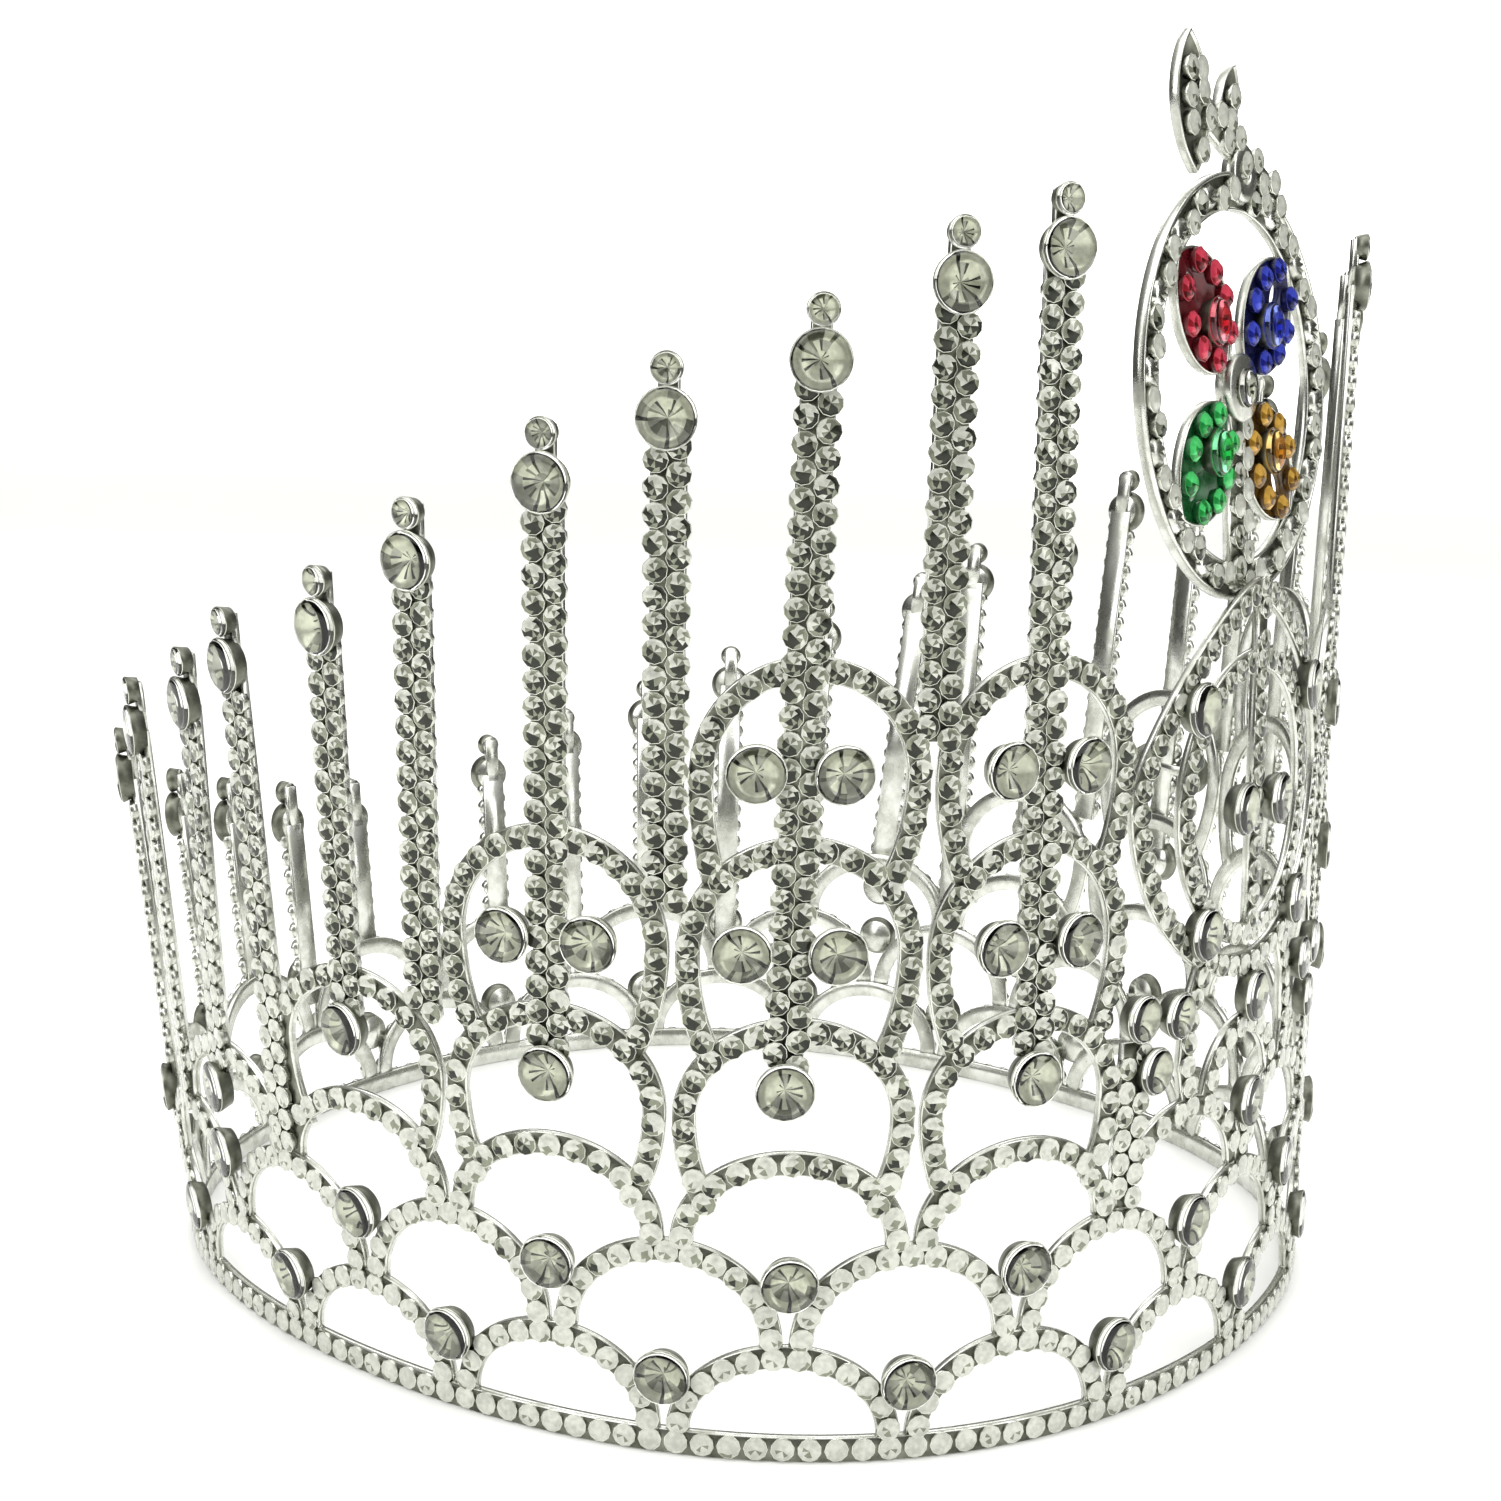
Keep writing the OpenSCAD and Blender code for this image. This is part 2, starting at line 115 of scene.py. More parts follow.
class Shader:
    """The node tree of one material or world."""

    def __init__(self, tree: bpy.types.NodeTree) -> None:
        """Empties a node tree and gets it ready for new nodes."""
        self.tree = tree
        tree.nodes.clear()

    def add(self, kind: str, values: dict[Any, Any] | None = None, **settings: Any) -> NodeOutputs:
        """Makes one node: its settings are set first, then the values and links of its inputs.

        Args:
            kind: Blender's name of the node type.
            values: Numbers, colours or Socks by input name or number.
            **settings: Properties of the node; "stops" holds a ramp's (place, colour) pairs.

        Returns:
            The node, ready to hand out its outputs.
        """
        node = self.tree.nodes.new(kind)
        for name, value in settings.items():
            if name == "stops":
                self._set_stops(node.color_ramp, value)
            else:
                setattr(node, name, value)
        for name, value in (values or {}).items():
            if isinstance(value, Sock):
                self.tree.links.new(value.link, node.inputs[name])
            else:
                node.inputs[name].default_value = value
        return NodeOutputs(self, node)

    @staticmethod
    def _set_stops(ramp: bpy.types.ColorRamp, stops: Sequence[tuple[float, Colour]]) -> None:
        """Sets the stops of a colour ramp.

        Args:
            ramp: The ramp.
            stops: Pairs of place and colour.
        """
        while len(ramp.elements) < len(stops):
            ramp.elements.new(1.0)
        for element, (place, colour) in zip(ramp.elements, stops):
            element.position = place
            element.color = colour

    def place(self) -> Sock:
        """Object coordinates of the shaded point."""
        return self.add("ShaderNodeTexCoord").out("Object")

    def noise(self, scale: float, detail: float = 2.0, roughness: float = 0.5) -> Sock:
        """Noise between 0 and 1 on Object coordinates."""
        values = {"Vector": self.place(), "Scale": scale, "Detail": detail, "Roughness": roughness}
        return self.add("ShaderNodeTexNoise", values).out(0)

    def blend(self, share: Sock, low: Colour, high: Colour) -> Sock:
        """Mixes two colours by a share that varies over the surface."""
        return self.add("ShaderNodeMix", {0: share, 6: low, 7: high}, data_type="RGBA").out(2)

    def limited(self, value: Sock, low: float, high: float) -> Sock:
        """Stretches the range from low to high over 0 to 1 and cuts off what lies outside."""
        values = {"Value": value, "From Min": low, "From Max": high}
        return self.add("ShaderNodeMapRange", values, clamp=True).out(0)

    def bump(self, height: Sock, strength: float, distance: float) -> Sock:
        """Turns a height into a normal."""
        values = {"Height": height, "Strength": strength, "Distance": distance}
        return self.add("ShaderNodeBump", values).out("Normal")

    def principled(self, values: dict[str, Any]) -> None:
        """Ends a material's tree: a Principled BSDF with these inputs, linked to the output."""
        surface = self.add("ShaderNodeBsdfPrincipled", values)
        self.add("ShaderNodeOutputMaterial", {"Surface": surface.out(0)})


# Finishes


def scaled(colour: Colour, share: float) -> Colour:
    """A colour times a factor, still opaque."""
    return (colour[0] * share, colour[1] * share, colour[2] * share, 1.0)


def new_material(name: str) -> tuple[bpy.types.Material, Shader]:
    """Makes an empty node material.

    Args:
        name: Name of the material.

    Returns:
        The material and its shader.
    """
    material = bpy.data.materials.new(name)
    material.use_nodes = True
    return material, Shader(material.node_tree)


@dataclass(frozen=True)
class MetalFinish:
    """Silver-plated metal: cloudy plate with fine scratches, worn warmer and duller in patches."""

    name: str
    bright: Colour
    dull: Colour
    rough_low: float
    rough_high: float
    cloud_scale: float = 260.0
    grain_scale: float = 5200.0
    grain_height: float = 0.00003
    grain_rough: float = 0.05
    worn_range: tuple[float, float] = (0.36, 0.68)

    def make(self) -> bpy.types.Material:
        """Builds the material: colour and roughness follow large clouds, and the bump follows a fine grain.

        Returns:
            The material.
        """
        material, shader = new_material(self.name)
        worn = shader.limited(shader.noise(self.cloud_scale, 4.0, 0.62), *self.worn_range)
        grain = shader.noise(self.grain_scale, 2.0)
        values = {
            "Base Color": shader.blend(worn, self.bright, self.dull),
            "Metallic": 1.0,
            "Roughness": worn * (self.rough_high - self.rough_low) + self.rough_low + grain * self.grain_rough,
            "Normal": shader.bump(grain, 0.35, self.grain_height),
        }
        shader.principled(values)
        return material


@dataclass(frozen=True)
class FoilFinish:
    """Foiled facets of a cut stone in one tone of painted light, under a clear coat, with cloudy patches."""

    name: str
    tone: Colour
    metallic: float = 0.6
    coat: float = 0.5
    roughness: float = 0.2
    coat_roughness: float = 0.04
    cloud_scale: float = 420.0
    fleck_ratio: float = 4.0
    cloudiness: float = 0.72
    cloud_range: tuple[float, float] = (0.38, 0.62)

    def make(self) -> bpy.types.Material:
        """Builds the material: its colour follows clouds a few stones wide and small flecks inside a stone.

        Returns:
            The material.
        """
        material, shader = new_material(self.name)
        clouds = shader.noise(self.cloud_scale, 3.0)
        flecks = shader.noise(self.cloud_scale * self.fleck_ratio, 1.0)
        share = shader.limited(clouds * 0.6 + flecks * 0.4, *self.cloud_range)
        values = {
            "Base Color": shader.blend(share, self.tone, scaled(self.tone, self.cloudiness)),
            "Metallic": self.metallic,
            "Roughness": flecks * 0.08 + self.roughness,
            "Coat Weight": self.coat,
            "Coat Roughness": self.coat_roughness,
        }
        shader.principled(values)
        return material


@dataclass(frozen=True)
class EnamelFinish:
    """Dark, clear-coated lacquer of the petals' sunken faces, slightly uneven in colour and surface."""

    name: str
    deep: Colour
    light_gain: float = 2.2
    pool_scale: float = 700.0
    ripple_scale: float = 2600.0
    ripple_height: float = 0.00004
    pool_range: tuple[float, float] = (0.35, 0.65)
    coat: float = 0.15
    coat_roughness: float = 0.2

    def make(self) -> bpy.types.Material:
        """Builds the material: colour and roughness follow one noise, and the bump follows a finer one.

        Returns:
            The material.
        """
        material, shader = new_material(self.name)
        pools = shader.noise(self.pool_scale, 3.0)
        light = scaled(self.deep, self.light_gain)
        values = {
            "Base Color": shader.blend(shader.limited(pools, *self.pool_range), self.deep, light),
            "Roughness": pools * 0.3 + 0.15,
            "Coat Weight": self.coat,
            "Coat Roughness": self.coat_roughness,
            "Normal": shader.bump(shader.noise(self.ripple_scale), 0.4, self.ripple_height),
        }
        shader.principled(values)
        return material


@dataclass(frozen=True)
class GlassFinish:
    """Cut glass in front of the foil, slightly tinted, with faint worn patches."""

    name: str
    tint: Colour
    ior: float = 1.42
    wear_scale: float = 310.0
    wear: float = 0.93
    wear_range: tuple[float, float] = (0.4, 0.7)

    def make(self) -> bpy.types.Material:
        """Builds the material: tint and roughness follow a slow noise.

        Returns:
            The material.
        """
        material, shader = new_material(self.name)
        share = shader.limited(shader.noise(self.wear_scale, 2.0), *self.wear_range)
        values = {
            "Base Color": shader.blend(share, self.tint, scaled(self.tint, self.wear)),
            "Roughness": share * 0.05 + 0.01,
            "IOR": self.ior,
            "Transmission Weight": 1.0,
        }
        shader.principled(values)
        return material


class Stone(Enum):
    """Colours of the cut stones, by the record's material slots."""

    CLEAR = "clear_stone"
    RED = "red_stone"
    BLUE = "blue_stone"
    GREEN = "green_stone"
    AMBER = "amber_stone"


@dataclass(frozen=True)
class StoneTones:
    """Colours of one kind of stone: its glass, its bright, pale, middle and dark facets, which are painted highlight,
    painted reflection and painted shade, and its enamel.
    """

    glass: Colour
    bright: Colour
    pale: Colour
    middle: Colour
    dark: Colour
    enamel: Colour | None = None


# The facet tones are painted light: bright for painted glints, pale for painted reflections of the bright surroundings,
# middle and dark for painted shade.
TONES: dict[Stone, StoneTones] = {
    Stone.CLEAR: StoneTones(
        (0.98, 0.99, 0.93, 1), (0.97, 0.99, 0.84, 1), (0.52, 0.53, 0.47, 1), (0.21, 0.225, 0.165, 1),
        (0.022, 0.025, 0.017, 1),
    ),
    Stone.RED: StoneTones(
        (0.93, 0.22, 0.27, 1), (0.95, 0.15, 0.22, 1), (0.60, 0.04, 0.08, 1), (0.34, 0.01, 0.022, 1),
        (0.09, 0.003, 0.006, 1), (0.05, 0.002, 0.004, 1),
    ),
    Stone.BLUE: StoneTones(
        (0.22, 0.30, 0.90, 1), (0.12, 0.18, 0.85, 1), (0.03, 0.05, 0.48, 1), (0.008, 0.014, 0.25, 1),
        (0.002, 0.004, 0.06, 1), (0.003, 0.004, 0.03, 1),
    ),
    Stone.GREEN: StoneTones(
        (0.26, 0.93, 0.46, 1), (0.20, 0.90, 0.38, 1), (0.06, 0.56, 0.14, 1), (0.012, 0.30, 0.05, 1),
        (0.004, 0.09, 0.018, 1), (0.004, 0.05, 0.012, 1),
    ),
    Stone.AMBER: StoneTones(
        (0.93, 0.66, 0.22, 1), (0.90, 0.60, 0.16, 1), (0.58, 0.33, 0.05, 1), (0.33, 0.17, 0.015, 1),
        (0.10, 0.045, 0.005, 1), (0.05, 0.025, 0.004, 1),
    ),
}
# Metallic and coat of each tone; the pale and bright tones are less metallic, so that their painted light stays under
# any lamp.
FOIL_LOOKS = {"pale": (0.3, 0.5), "middle": (0.5, 0.4), "dark": (0.5, 0.12), "bright": (0.25, 0.5)}


class Finishes:
    """All materials of the crown, made once."""

    def __init__(self) -> None:
        """Makes the metals, the foils and the glasses."""
        self.metal = MetalFinish("silver_plate", (0.80, 0.81, 0.76, 1), (0.50, 0.51, 0.45, 1), 0.12, 0.34).make()
        self.bezel = MetalFinish("bright_bezel", (0.78, 0.80, 0.71, 1), (0.52, 0.54, 0.45, 1), 0.16, 0.32).make()
        # The recess metal is painted shade: dark metal on the strips' front faces behind the cups and on the large
        # cups' outer walls. In the ornament's ring bed it also stands for the groove's tarnish.
        self.recess = MetalFinish("painted_shade_and_tarnish", (0.26, 0.27, 0.22, 1), (0.11, 0.115, 0.09, 1), 0.3, 0.55).make()
        self.glass: dict[Stone, bpy.types.Material] = {}
        self.foil: dict[Stone, list[bpy.types.Material]] = {}
        self.enamel: dict[Stone, bpy.types.Material] = {}
        for stone, tones in TONES.items():
            self.glass[stone] = GlassFinish(stone.value + "_glass", tones.glass).make()
            self.foil[stone] = [
                FoilFinish(f"{stone.value}_{kind}_foil", getattr(tones, kind), *look).make()
                for kind, look in FOIL_LOOKS.items()
            ]
            if tones.enamel:
                self.enamel[stone] = EnamelFinish(stone.value + "_enamel", tones.enamel).make()

    def setting(self, stone: Stone) -> list[bpy.types.Material]:
        """Materials of a mesh of strips and cups, in the order of Slot.

        Args:
            stone: Colour of its stones.

        Returns:
            The metals, which are the stone's own enamel and foil on a coloured one, and the foil's painted tones; the
            dark enamel on a coloured stone's cup walls is painted shade between the stones.
        """
        if stone is Stone.CLEAR:
            return [self.metal, self.bezel, self.recess, *self.foil[stone]]
        return [self.enamel[stone], self.foil[stone][1], self.recess, *self.foil[stone]]


class Slot(IntEnum):
    """Material slots of a settings mesh, in the order in which they are assigned."""

    METAL = 0
    BEZEL = 1
    # RECESS is the darker metal painted as shade; PALE to BRIGHT are the facets' painted reflections, shade and glints.
    RECESS = 2
    PALE = 3
    MIDDLE = 4
    DARK = 5
    BRIGHT = 6


# Geometry helpers


def unit(vectors: Floats) -> Floats:
    """Vectors divided by their lengths."""
    return vectors / np.linalg.norm(vectors, axis=-1, keepdims=True)


def around(angle: Floats) -> Floats:
    """Directions in the x-y plane at some angles: the cosine, the sine and 0."""
    return np.column_stack([np.cos(angle), np.sin(angle), np.zeros_like(angle)])


@dataclass
class MeshData:
    """Points and faces of a mesh: corners holds every face's point numbers in a row, sizes how many each takes."""

    points: Floats
    corners: Ints
    sizes: Ints
    slots: Ints

    @staticmethod
    def joined(parts: Sequence["MeshData"]) -> "MeshData":
        """Puts meshes in one, each with its point numbers moved past those before it.

        Args:
            parts: The meshes.

        Returns:
            One mesh.
        """
        starts = np.cumsum([0] + [len(p.points) for p in parts[:-1]])
        return MeshData(
            np.concatenate([p.points for p in parts]),
            np.concatenate([p.corners + s for p, s in zip(parts, starts)]),
            np.concatenate([p.sizes for p in parts]),
            np.concatenate([p.slots for p in parts]),
        )

    def facing_out(self) -> "MeshData":
        """The same closed mesh with its faces outwards.

        The volume is a sixth of the sum of each fan triangle's box product. Where it comes out negative, the order of
        all corners is reversed, which keeps each face together.

        Returns:
            This mesh, or the one with its corners in reverse order.
        """
        starts = np.concatenate([[0], np.cumsum(self.sizes)[:-1]])
        face = np.repeat(np.arange(len(self.sizes)), self.sizes)
        step = np.arange(len(self.corners)) - starts[face]
        fan = np.flatnonzero((step >= 1) & (step < self.sizes[face] - 1))
        a = self.points[self.corners[starts[face[fan]]]]
        b = self.points[self.corners[fan]]
        c = self.points[self.corners[fan + 1]]
        if np.einsum("ij,ij->", a, np.cross(b, c)) >= 0:
            return self
        return MeshData(self.points, self.corners[::-1].copy(), self.sizes[::-1].copy(), self.slots[::-1].copy())

    def copies(self, places: "Spots") -> "MeshData":
        """A copy of this mesh at each place: its x, y and z run along, across and out of the strip there.

        Args:
            places: The places.

        Returns:
            One mesh with all copies.
        """
        count = len(places.centres)
        axes = np.stack([places.along, np.cross(places.facing, places.along), places.facing], axis=1)
        points = np.einsum("pk,nkj->npj", self.points, axes) + places.centres[:, None, :]
        moved = self.corners[None, :] + (np.arange(count) * len(self.points))[:, None]
        return MeshData(points.reshape(-1, 3), moved.ravel(), np.tile(self.sizes, count), np.tile(self.slots, count))

    def make(self, name: str, materials: Sequence[bpy.types.Material]) -> bpy.types.Object:
        """Makes a Blender object from the arrays; millimetres become metres.

        Args:
            name: The object's name.
            materials: Materials in slot order.

        Returns:
            The object, at the origin.
        """
        mesh = bpy.data.meshes.new(name)
        mesh.vertices.add(len(self.points))
        mesh.vertices.foreach_set("co", (self.points * MM).astype(np.float32).ravel())
        mesh.loops.add(len(self.corners))
        mesh.loops.foreach_set("vertex_index", self.corners.astype(np.int32))
        mesh.polygons.add(len(self.sizes))
        starts = np.concatenate([[0], np.cumsum(self.sizes)[:-1]])
        mesh.polygons.foreach_set("loop_start", starts.astype(np.int32))
        for material in materials:
            mesh.materials.append(material)
        mesh.polygons.foreach_set("material_index", self.slots.astype(np.int32))
        mesh.update(calc_edges=True)
        mesh.validate()
        piece = bpy.data.objects.new(name, mesh)
        bpy.context.scene.collection.objects.link(piece)
        return piece


@dataclass(frozen=True)
class Spots:
    """Places of settings: centres, directions along the strip, and directions that the stones face."""

    centres: Floats
    along: Floats
    facing: Floats

    @staticmethod
    def joined(parts: Sequence["Spots"]) -> "Spots":
        """Puts several groups of places in one."""
        return Spots(*(np.concatenate([getattr(p, k) for p in parts]) for k in ("centres", "along", "facing")))

    def shifted(self, across: Floats | float, out: float = 0.0) -> "Spots":
        """The same places, moved across the strip and outwards.

        Args:
            across: Distance to the strip's left, one for all or one for each.
            out: Distance outwards.

        Returns:
            The moved places.
        """
        side = np.cross(self.facing, self.along)
        move = side * np.broadcast_to(across, (len(side),))[:, None] + self.facing * out
        return Spots(self.centres + move, self.along, self.facing)

    def chosen(self, keep: NDArray[np.bool_]) -> "Spots":
        """The places that a mask keeps."""
        return Spots(self.centres[keep], self.along[keep], self.facing[keep])

    def upright(self, swing: float, seed: int) -> "Spots":
        """The same places with their first direction upwards, swung by chance to either side.

        Args:
            swing: Largest swing in degrees.
            seed: Start of the chance numbers.

        Returns:
            The places, for round settings whose facets differ from top to bottom.
        """
        up = unit(UP - self.facing * self.facing[:, 2:3])
        angle = np.radians(np.random.default_rng(seed).uniform(-swing, swing, len(up)))[:, None]
        way = up * np.cos(angle) + np.cross(self.facing, up) * np.sin(angle)
        return Spots(self.centres, way, self.facing)

    def thinned(self, distance: float) -> "Spots":
        """The places without those that lie too near an earlier one of the same group.

        Args:
            distance: Smallest distance allowed between two places.

        Returns:
            The places that stay.
        """
        gaps = np.linalg.norm(self.centres[:, None, :] - self.centres[None, :, :], axis=2)
        near = np.tril(gaps < distance, -1)
        keep = np.ones(len(gaps), bool)
        for index in np.flatnonzero(near.any(axis=1)):
            keep[index] = not (near[index] & keep).any()
        return self.chosen(keep)


def ringed(rings: Sequence[tuple[float, float, float, Any]], sides: int, top_slot: int) -> MeshData:
    """A closed round body of flat facets.

    Ring k has its points at the angles 2 pi (i + turn) / sides, at its radius and height. Rings with equal turns are
    joined by four-sided facets, others by triangles. A last ring of radius 0 becomes an apex, and any other first or
    last ring is closed with one flat face.

    Args:
        rings: (radius, height, turn, slots) from the back to the front; the slots are those of the facets that lead
            up to the ring, one for all or one for each side.
        sides: Number of points in a ring.
        top_slot: Slot of the last flat face.

    Returns:
        The closed mesh, faces outwards.
    """
    table = np.array([r[:3] for r in rings if r[0] > 0])
    angle = 2 * np.pi * (np.arange(sides)[None, :] + table[:, 2:3]) / sides
    radius = table[:, 0:1]
    height = np.broadcast_to(table[:, 1:2], angle.shape)
    points = np.stack([radius * np.cos(angle), radius * np.sin(angle), height], axis=2).reshape(-1, 3)
    here = np.arange(sides)
    after = (here + 1) % sides
    corners = [here[::-1]]
    sizes = [np.array([sides])]
    slots = [np.array([rings[0][3]])]
    kinds = [np.broadcast_to(np.asarray(r[3]), sides) for r in rings]
    for k in range(1, len(table)):
        low, high = (k - 1) * sides, k * sides
        turn = table[k, 2] - table[k - 1, 2]
        if turn == 0:
            corners.append(np.stack([low + here, low + after, high + after, high + here], axis=1).ravel())
            sizes.append(np.full(sides, 4))
            slots.append(kinds[k])
            continue
        if turn > 0:
            up = np.stack([low + here, low + after, high + here], axis=1)
            down = np.stack([high + here, low + after, high + after], axis=1)
        else:
            up = np.stack([low + here, low + after, high + after], axis=1)
            down = np.stack([low + here, high + after, high + here], axis=1)
        corners.append(np.concatenate([up, down]).ravel())
        sizes.append(np.full(2 * sides, 3))
        slots.append(np.tile(kinds[k], 2))
    last = (len(table) - 1) * sides
    if rings[-1][0] > 0:
        corners.append(last + here)
        sizes.append(np.array([sides]))
        slots.append(np.array([top_slot]))
    else:
        tip = len(points)
        points = np.concatenate([points, [[0.0, 0.0, rings[-1][1]]]])
        corners.append(np.stack([last + here, last + after, np.full(sides, tip)], axis=1).ravel())
        sizes.append(np.full(sides, 3))
        slots.append(kinds[-1])
    return MeshData(points, np.concatenate(corners), np.concatenate(sizes), np.concatenate(slots)).facing_out()


@dataclass(frozen=True)
class Setting:
    """A round stone in its cup. Heights are measured outwards from the place where it is set."""

    radius: float
    foot: float
    rim: float
    table: float
    bezel: float
    sides: int
    table_share: float = 0.64
    rich: bool = False
    variants: int = 14
    back_share: float = 0.82
    foil_depth: float = 0.32
    least_depth: float = 0.1
    wall_end: float = 0.8
    crest: float = 0.5
    small_seat: float = 0.2
    rich_seat: float = 0.6
    girdle_h: float = 0.10
    girdle_overlap: float = 0.02
    glass_shares: tuple[float, float] = (0.97, 0.82)
    foil_rings: tuple[tuple[float, float], ...] = ((0.6, 0.5), (0.26, 0.0))
    # Painted light of a rich stone's facets: bright blocks, blocks of painted shade that grow as the level falls, and
    # thin dark facets.
    rich_shares: tuple[tuple[float, float], ...] = ((0.35, 0.28), (0.6, 0.3), (0.55, 0.3))
    painted_shade_gain: float = 0.4
    painted_shade_middle: float = 0.3
    dark_share: float = 0.55
    # Painted light of a small stone's facets: pale at the top, dark at the bottom, and one painted glint.
    small_shades: tuple[tuple[float, float], ...] = ((0.0, 0.16), (0.06, 0.30))
    small_spread: float = 0.2
    no_glint: float = 0.12
    pale_gain: float = 1.35
    pale_limits: tuple[float, float] = (-0.02, 0.38)
    # The painted level follows the place: paler low on the crown and away from the camera's side, darker facing it.
    level_height: float = 66.0
    side_gain: float = 0.85
    placed_levels: tuple[float, float] = (0.15, 0.95)
    least_level: float = 0.08
    chance: float = 0.10
    even_chance: float = 0.2
    swing: float = 50.0
    rich_swing: float = 180.0

    @property
    def fine(self) -> bool:
        """Whether it has so many sides that a facet takes several of them."""
        return self.sides > 20

    def tones(self, level: float, rng: np.random.Generator) -> list[Ints]:
        """Tones of the facets, ring by ring from the bezel to the middle, as slots.

        A small stone is painted pale at its top and dark at its bottom, as light from above and shade below: the higher
        its level, the further down the pale part reaches. A rich stone is painted bright, with blocks of painted shade
        and here and there a thin dark facet between them.

        Args:
            level: Level of the painted light, 0 for a dark stone and 1 for a pale one.
            rng: Chance numbers.

        Returns:
            Slots of each ring's facets.
        """
        pale, middle, dark, bright = Slot.PALE, Slot.MIDDLE, Slot.DARK, Slot.BRIGHT
        side = np.arange(self.sides)
        if self.rich:
            step = 3 if self.fine else 2
            rings = []
            # Blocks of painted shade and thin dark facets among the bright painted ones.
            for share, dim in self.rich_shares:
                block = np.repeat(rng.random(self.sides // step), step)
                dull = np.where(block < self.painted_shade_middle * dim, middle, pale)
                base = np.where(block < dim + self.painted_shade_gain * (1 - level), dull, bright)
                dim_one = np.where(rng.random(self.sides) < self.dark_share, dark, middle)
                rings.append(np.where((side % step == 0) & (rng.random(self.sides) < share), dim_one, base))
            return rings
        # Painted shade: the facets get darker towards the stone's bottom.
        down = (1 - np.cos(2 * np.pi * (side + 0.5) / self.sides)) / 2
        rings = []
        for bias, spread in self.small_shades:
            shade = down + rng.normal(0, spread + self.small_spread * (1 - level), self.sides) + bias
            high, low = (self.pale_gain * level + limit for limit in self.pale_limits)
            rings.append(np.where(shade < high, pale, np.where(shade < low, middle, dark)))
        # One painted glint among the table's facets.
        rings[1][rng.integers(0, self.sides)] = pale if level > self.no_glint else middle
        return rings

    def cup(self, level: float, rng: np.random.Generator) -> MeshData:
        """The cup with its bezel and the stone's facets in it, as one closed body.

        The wall widens to a rounded bezel. A small stone is solid: a crown of facets leads up to its table, whose
        facets meet in the middle. A rich one is hollow under its glass: facets lead down to an apex in two steps.

        Args:
            level: Level of the painted light, 0 for a dark stone and 1 for a pale one.
            rng: Chance numbers.

        Returns:
            The mesh of one cup.
        """
        metal, bezel = Slot.METAL, Slot.BEZEL
        inner = self.radius - self.bezel
        tones = self.tones(level, rng)
        seat = self.rim - (self.rich_seat if self.rich else self.small_seat) * self.bezel
        rings: list[tuple[float, float, float, Any]] = [
            (self.radius * self.back_share, self.foot, 0.0, metal),
            # A rich cup's outer wall takes the darker recess metal as painted shade.
            (self.radius, self.rim - self.wall_end * self.bezel, 0.0, Slot.RECESS if self.rich else metal),
            (self.radius - self.crest * self.bezel, self.rim, 0.0, bezel),
            (inner, seat, 0.0, bezel),
        ]
        if self.rich:
            deep = max(self.foot + self.least_depth, self.rim - self.foil_depth * self.radius)
            for (share, turn), tone in zip(self.foil_rings, tones):
                rings.append((inner * share, seat + (deep - seat) * (1 - share), turn, tone))
            rings.append((0.0, deep, 0.0, tones[-1]))
        else:
            rings.append((inner * self.table_share, self.table, 0.5, tones[0]))
            rings.append((0.0, self.table + 0.01, 0.5, tones[1]))
        return ringed(rings, self.sides, metal)

    def cups(self, spots: Spots, seed: int = 11, even: float | None = None) -> MeshData:
        """Cups at all places, their facets' light painted: stones low on the crown and towards its sides take the paler
        variants.

        The painted level of a stone falls with its height, rises with one less the cosine of its direction's angle from
        the side that faces the camera, where the foil is painted darkest as shade, and varies by chance. An even level
        stands for all but the chance where it is given.

        Args:
            spots: The places.
            seed: Start of the chance numbers.
            even: Level of all the stones, whatever their place.

        Returns:
            One mesh with all cups.
        """
        rng = np.random.default_rng(seed)
        last = self.variants - 1
        kinds = [self.cup(k / last, rng) for k in range(self.variants)]
        darkest = np.array([math.sin(PAINTED_SHADE_SIDE), -math.cos(PAINTED_SHADE_SIDE), 0.0])
        turned_away = 1 - spots.facing @ darkest
        height = spots.centres[:, 2]
        placed = np.clip(1.0 - height / self.level_height + self.side_gain * turned_away, *self.placed_levels)
        level = placed if even is None else np.full(len(height), even)
        level = level + rng.normal(0, self.chance if even is None else self.even_chance, len(height))
        pick = np.round(np.clip(level, self.least_level, 1.0) * last).astype(int)
        turned = spots.upright(self.rich_swing if self.rich else self.swing, seed)
        return MeshData.joined([kinds[k].copies(turned.chosen(pick == k)) for k in np.unique(pick)])

    def glass(self) -> MeshData:
        """The clear front of a rich stone: a girdle, a crown of triangles between turned rings and a flat table.

        Returns:
            The mesh of one stone.
        """
        girdle = self.radius - self.bezel + self.girdle_overlap
        seat = self.rim - self.crest * self.bezel
        foot, crown = self.glass_shares
        rings = [
            (girdle * foot, seat, 0.0, 0),
            (girdle, seat + self.girdle_h, 0.0, 0),
            (girdle * crown, seat + self.girdle_h + (self.table - seat) / 2, 0.5, 0),
            (girdle * self.table_share, self.table, 0.0, 0),
        ]
        return ringed(rings, self.sides // 2 if self.fine else self.sides, 0)


